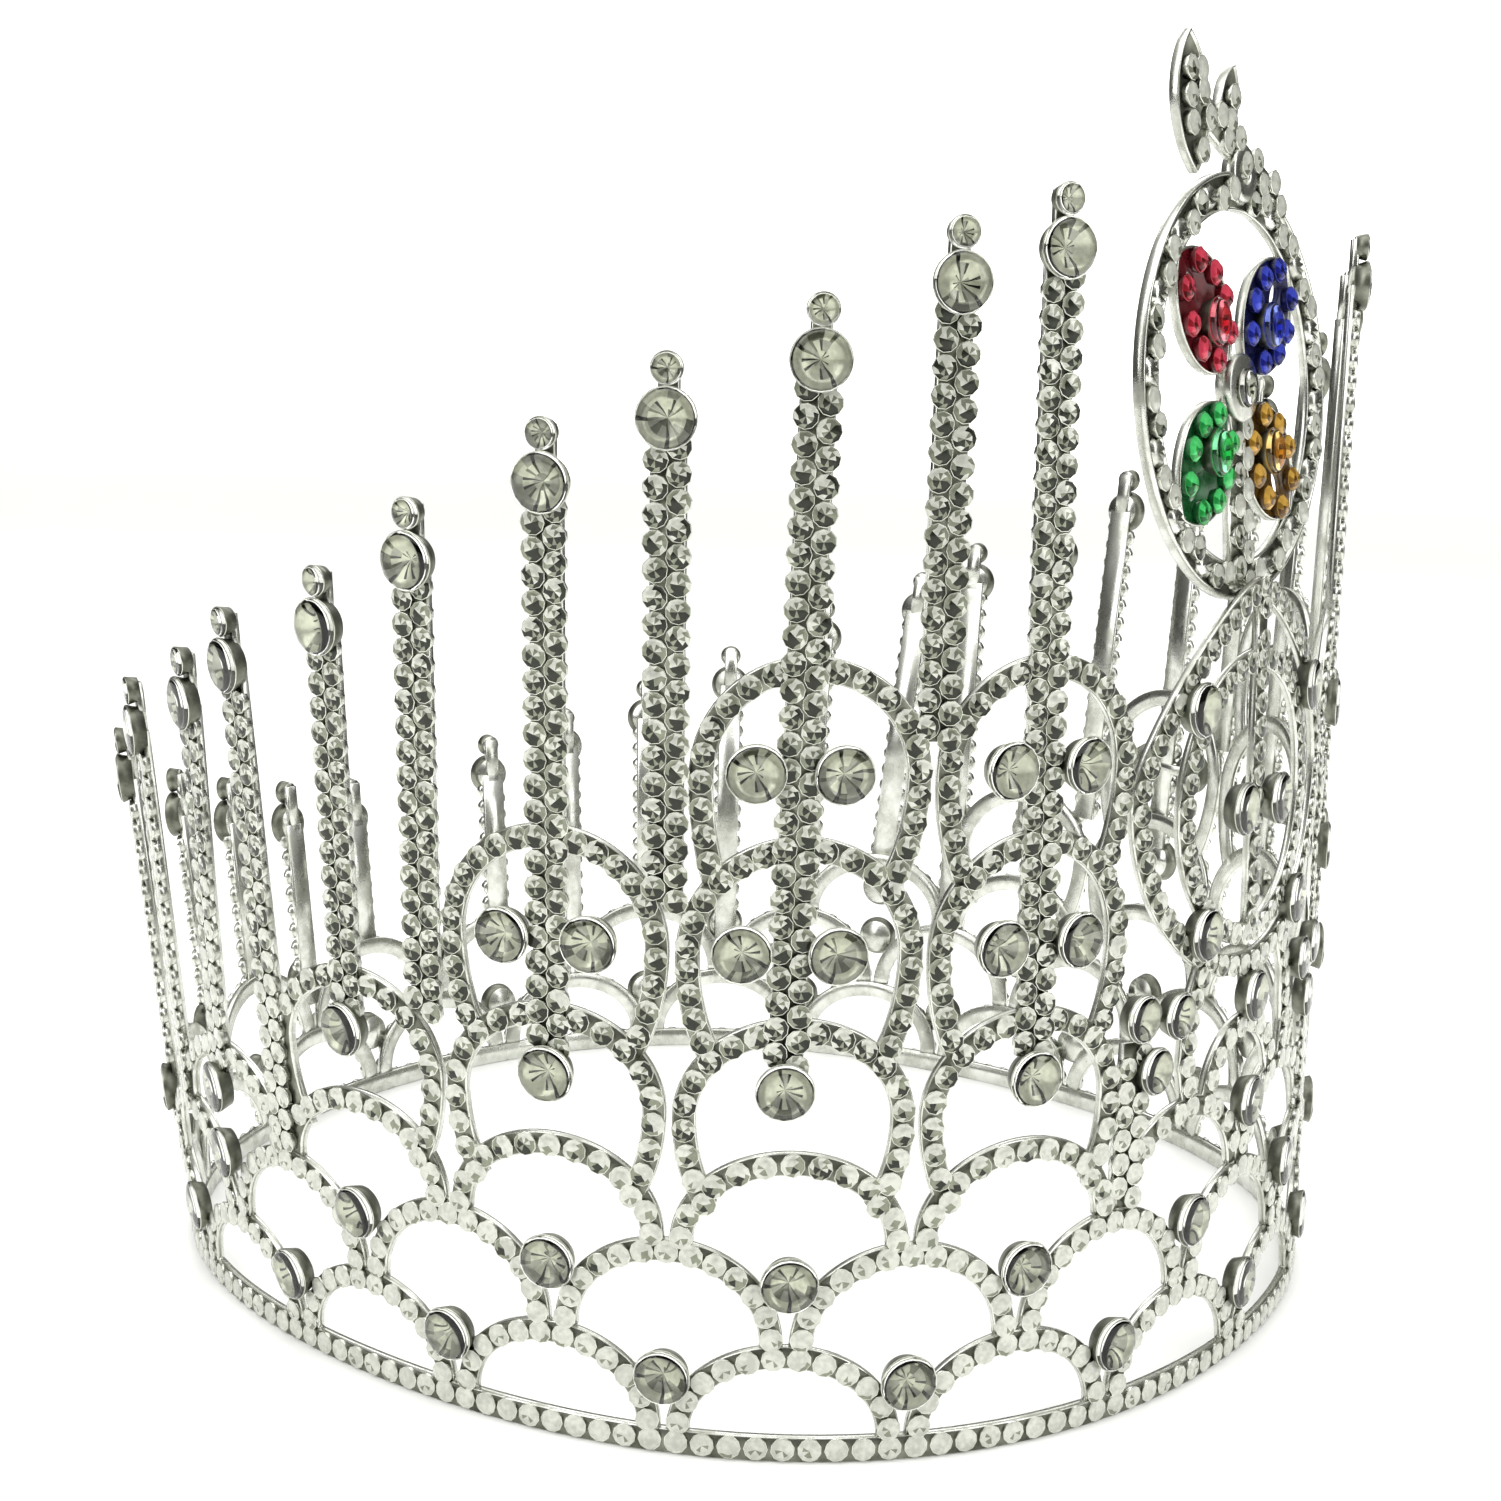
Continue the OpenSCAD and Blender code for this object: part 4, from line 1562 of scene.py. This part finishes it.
        fine = np.linspace(0, at[-1], self.steps + 1)
        x, z = np.interp(fine, at, drop_line[:, 0]), np.interp(fine, at, drop_line[:, 1])
        for side in SIDES:
            route = self._flat(side * x, z)
            plates.append(strip(route))
            spots.append(row(route))
            for x0, z0, x1, z1 in self.front_bars:
                plates.append(strip(self._bar(side * x0, z0, side * x1, z1), self.side_bar_w))
            x0, z0, x1, z1 = self.front_post
            stand = self._bar(side * x0, z0, side * x1, z1)
            plates.append(strip(stand, self.post_w, proud))
            spots.append(self.packing.double_row(stand, self.post_gauge, self.post_pitch, proud))
        self._finish("front_lattice", plates, Spots.joined(spots))

    def hoops(self) -> None:
        """The three rows of hoops.

        A hoop's flank towards its neighbour keeps the usual inset, and the free flank of a row's last one its own.
        """
        for number, ((touch, top, foot, last), beside) in enumerate(zip(self.hoop_rows, self.beside_posts), 1):
            routes = []
            for m in self._half_columns(self.hoop_first, last):
                outer = beside if abs(m) == last else self.inset
                insets = (outer, self.inset) if m < 0 else (self.inset, outer)
                routes.append(horseshoe(self.kit.shell, m, touch, top, foot, insets))
            self._strips(f"hoop_row_{number}", routes)

    def arches(self) -> None:
        """The three rows of arches, each standing on the tops of the row below."""
        shell = self.kit.shell
        feet = [t - self.foot_sink for t in (self.band_h, *(top + self.strip_half for top in self.arch_tops[:2]))]
        low, high = (self._half_columns(0.5, last) for last in self.arch_last)
        rows = (low, np.arange(shell.columns) - BACK, high)
        for number, (foot, top, columns) in enumerate(zip(feet, self.arch_tops, rows), 1):
            self._strips(f"arch_row_{number}", [arch(shell, m, foot, top, self.inset) for m in columns])

    def band(self) -> None:
        """The head band: a closed metal ring, and nine stones a column edge to edge."""
        shell, kit = self.kit.shell, self.kit
        count = shell.columns * self.band_stones
        m = np.linspace(-BACK, BACK, count + 1)
        middle = Route(m, np.full(count + 1, self.band_h / 2), True)
        profile, slots = slab(self.band_h - self.band_spare, kit.back, kit.front + self.band_proud, kit.chamfer)
        profile[:, 0] += self.band_spare / 2
        _, across, _ = middle.frames(shell)
        wall = swept(middle.points(shell), across, shell.outward(m), profile, slots, True)
        fine = Route(m[:-1] + 0.5 / self.band_stones, np.full(count, self.band_h / 2 + self.band_raise))
        along, _, facing = fine.frames(shell)
        self._finish("head_band", [wall], self.packing.kept(Spots(fine.points(shell), along, facing)))

    def build(self) -> None:
        """Makes all groups, those whose stones lie on top first."""
        self.posts()
        self.front()
        self.hoops()
        self.band()
        self.arches()


@dataclass
class Ornament:
    """The round front ornament, drawn in its own plane: x to the right, y up from its foot, z out of its back."""

    kit: StripKit
    foot_z: float = 100.0
    radius: float = 26.0
    lean: float = 5.0
    depth: float = 2.2
    set_back: float = 0.5
    foot_drop: float = 1.65
    ring_band: float = 4.6
    ring_groups: int = 16
    ring_bed: int = 5
    ring_swing: tuple[float, float] = (0.25, -0.75)
    flutes: int = 14
    flute: float = 0.16
    flute_growth: float = 1.3
    relief_size: tuple[float, float] = (1.95, 1.5)
    relief_rings: tuple[tuple[float, float], ...] = ((1.0, 0.6), (1.0, 1.1), (0.55, 1.75), (0.0, 1.4))
    ring_profile: tuple[tuple[float, float], ...] = (
        (-2.1, 0.0), (-2.3, 0.2), (-2.3, 1.05), (-2.15, 1.2), (-1.95, 1.15), (-1.85, 0.9), (1.75, 0.9), (1.8, 1.4),
        (1.92, 1.55), (2.15, 1.55), (2.3, 1.4), (2.3, 0.2), (2.1, 0.0),
    )
    small: Setting = Setting(1.6, -1.7, -0.28, 0.0, 0.11, 10)
    rim_set: Setting = Setting(1.62, -1.7, -0.3, 0.2, 0.1, 10)
    petal_set: Setting = Setting(3.0, -1.7, 0.4, 1.1, 0.12, 18, 0.54, True)
    centre_set: Setting = Setting(2.5, -0.3, 0.3, 0.8, 0.12, 18, 0.54, True)
    # Levels of painted light: of the frame's small stones, and of the rim and rich stones.
    small_level: float = 0.72
    levels: tuple[float, float] = (0.5, 0.8)
    pitch: float = 3.12
    least_gap: float = 2.3
    boss: float = 4.2
    boss_rings: tuple[tuple[float, float], ...] = ((0.98, 0.0), (1.0, 0.2), (1.0, 1.9), (0.94, 2.1))
    stem_w: float = 5.4
    bar_depth: float = 1.15
    petal_len: float = 18.8
    petal_w: float = 13.0
    petal_start: float = 3.4
    petal_stone_at: float = 7.6
    rim_steps: tuple[float, ...] = (0.12, 0.37, 0.63, 0.88)
    rim_margin: float = 1.8
    plate_rings: tuple[tuple[float, float], ...] = (
        (0.985, 0.0), (1.0, 0.12), (1.0, 1.13), (0.985, 1.25), (0.96, 1.25), (0.945, 1.15), (0.935, 0.95),
    )
    hole_at: float = 11.0
    hole: tuple[float, float] = (4.6, 2.6)
    stalk: tuple[float, float, float, float, float] = (-10.0, 59.6, 12.5, 49.6, 4.0)
    curl: tuple[float, float, float, float, float] = (1.6, 51.8, 3.4, 1.2, 1.9)
    stem_swing: float = 1.25
    stem_end: float = 0.6
    stalk_swing: float = 0.95
    leaves: tuple[tuple[float, float, float, float, float], ...] = (
        (-10.5, 51.0, 94.0, 16.6, 8.6), (-3.0, 55.4, 70.0, 10.0, 4.8),
    )
    narrow_leaf: float = 6.0
    leaf_ends: tuple[float, float] = (2.6, 2.0)
    leaf_rim: float = 2.2
    leaf_swing: float = 1.7
    petals: tuple[tuple[Stone, float], ...] = (
        (Stone.RED, 135.0), (Stone.BLUE, 45.0), (Stone.GREEN, 225.0), (Stone.AMBER, 315.0),
    )

    def axes(self) -> tuple[Floats, Floats]:
        """The ornament's origin and its three axes in the crown's frame.

        The plane leans back about the x axis: its y axis is (0, cos, sin) and its z axis (0, -sin, cos) of 90
        degrees less the lean, and the origin lies one depth behind the front face.

        Returns:
            The origin, and the axes as rows.
        """
        t = math.radians(90 - self.lean)
        axes = np.array([[1.0, 0.0, 0.0], [0.0, math.cos(t), math.sin(t)], [0.0, -math.sin(t), math.cos(t)]])
        shell_r = float(self.kit.shell.radius(np.float64(0), np.float64(self.foot_z)))
        origin = np.array([0.0, -shell_r + self.depth + self.set_back, self.foot_z - self.foot_drop])
        return origin - axes[2] * self.depth, axes

    def placed(self, mesh: MeshData) -> MeshData:
        """A mesh of the ornament's plane, moved into the crown's frame."""
        origin, axes = self.axes()
        return MeshData(mesh.points @ axes + origin, mesh.corners, mesh.sizes, mesh.slots)

    def spots(self, places: Floats, along: Floats | None = None) -> Spots:
        """Places of settings on the ornament's front face.

        Args:
            places: (x, y) rows in its plane.
            along: Directions (x, y) along the row of stones, or None for those to the right.

        Returns:
            The places in the crown's frame.
        """
        origin, axes = self.axes()
        flat = np.column_stack([places, np.full(len(places), self.depth)])
        way = np.zeros((len(places), 3))
        way[:, :2] = np.array([1.0, 0.0]) if along is None else unit(along)
        facing = np.broadcast_to(axes[2], way.shape).copy()
        return Spots(flat @ axes + origin, way @ axes, facing)

    @staticmethod
    def half_width(x: Floats, length: float, width: float) -> Floats:
        """Half a pointed oval's width: an arc of radius (length^2 + width^2) / (4 width), less its centre's drop."""
        r = (length * length + width * width) / (4 * width)
        return np.sqrt(r * r - (x - length / 2) ** 2) - (r - width / 2)

    def oval(self, length: float, width: float, steps: int = 24) -> Floats:
        """Outline of a pointed oval from the origin along x: two equal arcs of a circle that meet in the points.

        Args:
            length: Distance between the points.
            width: Width in the middle.
            steps: Steps in each half.

        Returns:
            Points round the outline, the first not repeated.
        """
        x = (1 - np.cos(np.linspace(0, np.pi, steps + 1))) * length / 2
        half = self.half_width(x, length, width)
        return np.concatenate([np.column_stack([x, -half])[:-1], np.column_stack([x, half])[:0:-1]])

    def leaf_plate(self, outline: Floats, hole: Floats | None, slots: tuple[int, int, int]) -> MeshData:
        """A plate with a raised, rounded rim and a sunken middle; with a hole it is open there.

        The rings of the plate are the outline scaled about its middle, each at its height, and then the hole's edge
        at the sunken face and at the back.

        Args:
            outline: Points round the plate.
            hole: Points round the hole, as many as the outline has, or None.
            slots: Slots of the side and rim, the sunken face and the back.

        Returns:
            The closed mesh.
        """
        count = len(outline)
        middle = outline.mean(axis=0)
        rings = [np.column_stack([middle + (outline - middle) * k, np.full(count, z)]) for k, z in self.plate_rings]
        kinds = [slots[0]] * (len(rings) - 1)
        if hole is not None:
            rings += [np.column_stack([hole, np.full(count, z)]) for z in (self.plate_rings[-1][1], 0.0)]
            kinds += [slots[1], slots[1], slots[2]]
        return lofted(np.stack(rings), np.array(kinds)[:, None], hole is not None, (slots[2], slots[1]))

    @staticmethod
    def turned(places: Floats, angle: float, move: tuple[float, float] = (0.0, 0.0)) -> Floats:
        """Plane points turned about the origin and then moved."""
        a = math.radians(angle)
        return places @ np.array([[math.cos(a), math.sin(a)], [-math.sin(a), math.cos(a)]]) + np.array(move)

    def plane_mesh(self, mesh: MeshData, angle: float, move: tuple[float, float]) -> MeshData:
        """A flat mesh turned in the ornament's plane and moved there.

        Args:
            mesh: The mesh.
            angle: Turn in degrees.
            move: Distance to the right and upwards.

        Returns:
            The turned mesh.
        """
        points = mesh.points.copy()
        points[:, :2] = self.turned(points[:, :2], angle, move)
        return MeshData(points, mesh.corners, mesh.sizes, mesh.slots)

    def bar_mesh(self, x0: float, y0: float, x1: float, y1: float, width: float) -> MeshData:
        """A straight bar of the ornament, with cut corners along its front edges.

        Args:
            x0: Its start to the right.
            y0: Its start upwards.
            x1: Its end to the right.
            y1: Its end upwards.
            width: Its width.

        Returns:
            The mesh.
        """
        ends = np.array([[x0, y0, 0.0], [x1, y1, 0.0]])
        across = np.cross(unit(ends[1] - ends[0]), UP)
        profile, slots = slab(width, 0.0, self.bar_depth, 0.2)
        return swept(ends, np.array([across, across]), np.array([UP, UP]), profile, slots, False)

    def frame_piece(self) -> None:
        """The ornament's metal and its small clear stones: ring, boss, petals, stem, stalk, curl and leaves."""
        metal, recess = Slot.METAL, Slot.RECESS
        centre = (0.0, self.radius)
        middle = self.radius - self.ring_band / 2
        profile = np.array(self.ring_profile)
        # The ring's bed takes the darker recess metal: painted shade between the stones, and the groove's tarnish.
        slots = [recess if k == self.ring_bed else metal for k in range(len(profile))]
        parts = [self.round_strip(middle, centre, profile, slots, 96), self.relief(middle)]
        spots = [self.ring_spots(middle)]
        metals = self.kit.finishes.setting(Stone.CLEAR)
        for stone, angle in self.petals:
            outline = self.oval(self.petal_len, self.petal_w)
            hole = self.oval(*self.hole) + np.array([self.hole_at, 0.0])
            plate = self.leaf_plate(outline, hole, (metal, len(metals), metal))
            metals.append(self.kit.finishes.enamel[stone])
            plate.points[:, 0] += self.petal_start
            parts.append(self.plane_mesh(plate, angle, centre))
        disc = ringed([(self.boss * share, z, 0.0, metal) for share, z in self.boss_rings], 40, metal)
        disc.points[:, 1] += self.radius
        parts.append(disc)
        parts.append(self.bar_mesh(0.0, self.radius, 0.0, self.ring_band / 2, self.stem_w))
        high, low = (y - self.stem_end for y in (self.radius - self.boss, self.ring_band))
        spots.append(self.zigzag((0.0, high), (0.0, low), self.stem_swing))
        parts.append(self.bar_mesh(*self.stalk))
        spots.append(self.zigzag(self.stalk[:2], self.stalk[2:4], self.stalk_swing))
        x, y, radius, hole, height = self.curl
        washer, _ = slab(radius - hole, 0.0, height, 0.3)
        parts.append(self.round_strip((radius + hole) / 2, (x, y), washer, [metal] * len(washer), 40))
        for x, y, angle, length, width in self.leaves:
            # A leaf's sunken face takes the darker recess metal.
            plate = self.leaf_plate(self.oval(length, width), None, (metal, recess, metal))
            parts.append(self.plane_mesh(plate, angle, (x, y)))
            spots.append(self.leaf_spots(x, y, angle, length, width))
        small = Spots.joined(spots).thinned(self.least_gap)
        parts = [self.placed(MeshData.joined(parts)), self.small.cups(small, even=self.small_level)]
        dressed(MeshData.joined(parts).make("ornament", metals), "silver_metal", "ornament_frame")

    def ring_spots(self, middle: float) -> Spots:
        """Small stones round the ring in twos: of each group's three places, the third is left for the relief.

        Args:
            middle: Radius of the ring's middle.

        Returns:
            The places in the crown's frame.
        """
        count = self.ring_groups * 3
        number = np.arange(count)
        number = number[number % 3 < 2]
        a = (number + 0.5) * 2 * np.pi / count
        r = middle + np.where(number % 3 == 0, *self.ring_swing)
        places = r[:, None] * around(a)[:, :2] + np.array([0.0, self.radius])
        return self.spots(places, np.column_stack([-np.sin(a), np.cos(a)]))

    def relief(self, middle: float) -> MeshData:
        """Fluted leaves on the ring between the stones, which overlap its bed.

        Each is an oval dome whose points go up and down in turn: its length runs round the ring.

        Args:
            middle: Radius of the ring's middle.

        Returns:
            The mesh of all leaves, in the ornament's plane.
        """
        n, metal = self.flutes, Slot.METAL
        domed = [(share, z, 0.0, metal if share else Slot.BEZEL) for share, z in self.relief_rings]
        leaf = ringed(domed, n, metal)
        flute = np.where(np.arange(n) % 2 == 0, self.flute, -self.flute)
        leaf.points[n:2 * n, 2] += flute
        leaf.points[2 * n:3 * n, 2] += self.flute_growth * flute
        leaf.points[:, :2] *= np.array(self.relief_size)
        a = (np.arange(self.ring_groups) * 3 + 2.5) * 2 * np.pi / (self.ring_groups * 3)
        centres = middle * around(a) + np.array([0.0, self.radius, 0.0])
        along = np.column_stack([-np.sin(a), np.cos(a), np.zeros_like(a)])
        return leaf.copies(Spots(centres, along, np.broadcast_to(UP, centres.shape)))

    def zigzag(self, start: tuple[float, float], end: tuple[float, float], swing: float) -> Spots:
        """Two staggered rows of small stones between two places of the ornament's plane.

        The step along is the root of the pitch squared less the width between the rows squared, so that neighbours
        of the two rows are one pitch apart, and it is half a pitch or more.

        Args:
            start: First place.
            end: Last place.
            swing: Distance of each row from the middle.

        Returns:
            The places in the crown's frame.
        """
        first, last = np.array(start), np.array(end)
        way = unit(last - first)
        step = math.sqrt(max(self.pitch ** 2 - (2 * swing) ** 2, (self.pitch / 2) ** 2))
        count = int(np.linalg.norm(last - first) / step) + 1
        at = np.arange(count)[:, None] * (last - first) / max(count - 1, 1) + first
        side = np.array([-way[1], way[0]])
        at = at + side * np.where(np.arange(count) % 2 == 0, swing, -swing)[:, None]
        return self.spots(at, np.broadcast_to(way, at.shape))

    def leaf_spots(self, x: float, y: float, angle: float, length: float, width: float) -> Spots:
        """Two rows of small stones on a leaf, or one on a narrow leaf, that draw together towards its points.

        Args:
            x: Place of its first point to the right.
            y: Place of its first point upwards.
            angle: Its direction in degrees.
            length: Its length.
            width: Its width.

        Returns:
            The places in the crown's frame.
        """
        along = np.arange(self.leaf_ends[0], length - self.leaf_ends[1], self.pitch)
        half = min(width / 2 - self.leaf_rim, self.leaf_swing)
        swing = half * np.sin(np.pi * along / length)
        sides = SIDES if width > self.narrow_leaf else (0.0,)
        rows = [np.column_stack([along, s * np.maximum(swing, 0.0)]) for s in sides]
        places = self.turned(np.concatenate(rows), angle, (x, y))
        way = self.turned(np.array([[1.0, 0.0]]), angle)
        return self.spots(places, np.broadcast_to(way, places.shape))

    @staticmethod
    def round_strip(
        middle: float, centre: tuple[float, float], profile: Floats, slots: Sequence[int], steps: int
    ) -> MeshData:
        """A profile carried round a circle of the ornament's plane.

        Args:
            middle: Radius of the circle.
            centre: Its centre.
            profile: Corners of the profile.
            slots: Slot of each of the profile's sides.
            steps: Number of steps round it.

        Returns:
            The mesh.
        """
        across = around(np.linspace(0, 2 * np.pi, steps + 1))
        line3 = middle * across + np.array([*centre, 0.0])
        return swept(line3, across, np.broadcast_to(UP, line3.shape), profile, slots, True)

    def coloured(self) -> None:
        """The coloured stones of the petals, whose rims' stones stand on smaller ovals, and the clear one between."""
        length, width = self.petal_len - 2 * self.rim_margin, self.petal_w - 2 * self.rim_margin
        k = np.array(self.rim_steps) * length
        half = self.half_width(k, length, width)
        x = self.petal_start + self.rim_margin + k
        round_rim = np.concatenate([np.column_stack([x, s * half]) for s in SIDES])
        middle = np.array([[self.petal_start + self.petal_stone_at, 0.0]])
        centre = (0.0, self.radius)
        sets = []
        for stone, angle in self.petals:
            name = stone.value.replace("stone", "petal_stones")
            sets.append((name, self.rim_set, self.turned(round_rim, angle, centre), stone))
            sets.append((stone.value, self.petal_set, self.turned(middle, angle, centre), stone))
        sets.append(("ornament_centre_stone", self.centre_set, np.array([centre]), Stone.CLEAR))
        for node, setting, places, stone in sets:
            names, level = (node + "_cups", node + "_glass"), self.levels[setting.rich]
            self.kit.set_stones(node, names, setting, self.spots(places), stone, level)

    def build(self) -> None:
        """Makes the ornament's frame and its stones."""
        self.frame_piece()
        self.coloured()


# Studio


@dataclass
class Studio:
    """Pale floor, pale backdrop, soft lights and the camera at the photograph's angle."""

    azimuth: float = -53.494
    elevation: float = 9.743
    roll: float = 1.81
    distance: float = 4.196 * 0.08
    aside: float = 0.011 * 0.08
    above: float = 0.859 * 0.08
    focal_pixels: float = 2216.2
    frame_pixels: float = 1501.0
    sensor: float = 36.0
    clip: tuple[float, float] = (0.01, 20.0)
    wall_r: float = 2.2
    wall_h: float = 2.6
    wall_curve: float = 0.5
    wall_glow: float = 0.95
    sides: int = 96
    steps: int = 13
    lamp_target: float = 0.08
    lamps: tuple[tuple[str, float, float, float, tuple[float, float], float], ...] = (
        ("overhead", 0.0, 82.0, 0.9, (1.1, 0.9), 4.2), ("key", -48.0, 34.0, 0.9, (0.5, 0.8), 2.6),
        ("side", 58.0, 26.0, 0.9, (0.35, 0.8), 2.0), ("rim", 178.0, 38.0, 1.0, (0.9, 0.5), 2.6),
    )
    sky: tuple[tuple[float, Colour], ...] = (
        (0.0, (0.05, 0.05, 0.045, 1)), (0.45, (0.16, 0.16, 0.15, 1)), (1.0, (0.75, 0.75, 0.73, 1)),
    )
    bounces: int = 7
    matt_bounces: int = 2
    gloss_bounces: int = 3

    @staticmethod
    def direction(a: float, e: float) -> Vector:
        """Direction at an azimuth from the crown's front and an elevation, both in radians."""
        return Vector((math.sin(a) * math.cos(e), -math.cos(a) * math.cos(e), math.sin(e)))

    def camera(self) -> None:
        """Makes the camera; its lens is the focal length in pixels over the frame's width, times the sensor."""
        a, e, roll = (math.radians(v) for v in (self.azimuth, self.elevation, self.roll))
        back = self.direction(a, e)
        right = Vector((math.cos(a), math.sin(a), 0.0))
        up = back.cross(right)
        x = right * math.cos(roll) + up * math.sin(roll)
        y = up * math.cos(roll) - right * math.sin(roll)
        data = bpy.data.cameras.new("camera")
        data.sensor_width = self.sensor
        data.lens = self.sensor * self.focal_pixels / self.frame_pixels
        data.clip_start, data.clip_end = self.clip
        camera = bpy.data.objects.new("camera", data)
        rows = Matrix((x, y, back)).transposed().to_4x4()
        rows.translation = back * self.distance + x * self.aside + y * self.above
        camera.matrix_world = rows
        bpy.context.scene.collection.objects.link(camera)
        bpy.context.scene.camera = camera

    def plain(self, name: str, colour: Colour, roughness: float, glow: float = 0.0) -> bpy.types.Material:
        """A plain pale material with a faint mottle.

        Args:
            name: Its name.
            colour: Its colour.
            roughness: Its roughness.
            glow: Strength of its own light.

        Returns:
            The material.
        """
        material, shader = new_material(name)
        values = {
            "Base Color": shader.blend(shader.noise(3.0, 2.0), colour, scaled(colour, 0.97)),
            "Roughness": roughness,
            "Emission Color": colour,
            "Emission Strength": glow,
        }
        shader.principled(values)
        return material

    def stage(self) -> None:
        """The floor is a disc; the backdrop is a round wall that starts level with the floor and curves upwards.

        The wall's radius grows with the sine and its height with one less the cosine of an angle up to a quarter
        turn, and then it goes straight up.
        """
        n, steps = self.sides, self.steps
        rim = around(np.linspace(0, 2 * np.pi, n + 1)[:-1])
        floor = MeshData(self.wall_r * rim / MM, np.arange(n), np.array([n]), np.array([0]))
        ground = floor.make("floor", [self.plain("pale_floor", (0.93, 0.93, 0.92, 1), 0.5)])
        lift = np.linspace(0, np.pi / 2, steps)
        radius = self.wall_r + self.wall_curve * np.append(np.sin(lift), 1.0)
        height = np.append(self.wall_curve * (1 - np.cos(lift)), self.wall_h)
        grid = (radius[:, None, None] * rim + height[:, None, None] * UP).reshape(-1, 3) / MM
        row, col = np.arange(steps)[:, None] * n, np.arange(n)[None, :]
        after = (col + 1) % n
        quads = np.stack(np.broadcast_arrays(row + after, row + col, row + n + col, row + n + after), axis=2).ravel()
        wall = MeshData(grid, quads, np.full(steps * n, 4), np.zeros(steps * n, int))
        backdrop = wall.make("backdrop", [self.plain("pale_backdrop", (0.96, 0.96, 0.95, 1), 0.9, self.wall_glow)])
        backdrop.visible_glossy = False
        backdrop.visible_transmission = False

    def light(
        self, name: str, turn: float, elevation: float, distance: float, size: tuple[float, float], power: float
    ) -> None:
        """A soft rectangular lamp that points at the middle of the crown.

        Args:
            name: Its name.
            turn: Its azimuth from the camera's, in degrees.
            elevation: Its elevation in degrees.
            distance: Its distance in metres.
            size: Its width and height in metres.
            power: Its power in watts.
        """
        back = self.direction(math.radians(self.azimuth + turn), math.radians(elevation))
        data = bpy.data.lights.new(name, "AREA")
        data.shape = "RECTANGLE"
        data.size, data.size_y = size
        data.energy = power
        lamp = bpy.data.objects.new(name, data)
        lamp.location = back * distance + Vector((0.0, 0.0, self.lamp_target))
        lamp.rotation_mode = "QUATERNION"
        lamp.rotation_quaternion = (-back).to_track_quat("-Z", "Y")
        bpy.context.scene.collection.objects.link(lamp)

    def world(self) -> None:
        """A dim surrounding, a little brighter overhead, which the stones reflect in their facets on top of their
        painted tones.
        """
        world = bpy.data.worlds.new("surrounding")
        bpy.context.scene.world = world
        world.use_nodes = True
        shader = Shader(world.node_tree)
        way = shader.add("ShaderNodeTexCoord").out("Generated")
        height = shader.add("ShaderNodeSeparateXYZ", {0: way}).out("Z")
        colour = shader.add("ShaderNodeValToRGB", {0: height}, stops=self.sky).out(0)
        light = shader.add("ShaderNodeBackground", {"Color": colour, "Strength": 1.0})
        shader.add("ShaderNodeOutputWorld", {"Surface": light.out(0)})

    def build(self) -> None:
        """Makes the stage, the lights, the surrounding and the camera."""
        self.stage()
        self.world()
        for lamp in self.lamps:
            self.light(*lamp)
        self.camera()
        scene = bpy.context.scene
        scene.cycles.max_bounces = self.bounces
        scene.cycles.diffuse_bounces = self.matt_bounces
        scene.cycles.glossy_bounces = self.gloss_bounces
        scene.view_settings.view_transform = "Standard"
        scene.view_settings.look = "None"


def main() -> None:
    """Builds the studio and the crown's pieces in order."""
    kit = StripKit(Finishes())
    Studio().build()
    stones = LargeStones(kit)
    stones.build()
    Lattice(kit, stones).build()
    Ornament(kit).build()


if __name__ == "__main__":
    main()
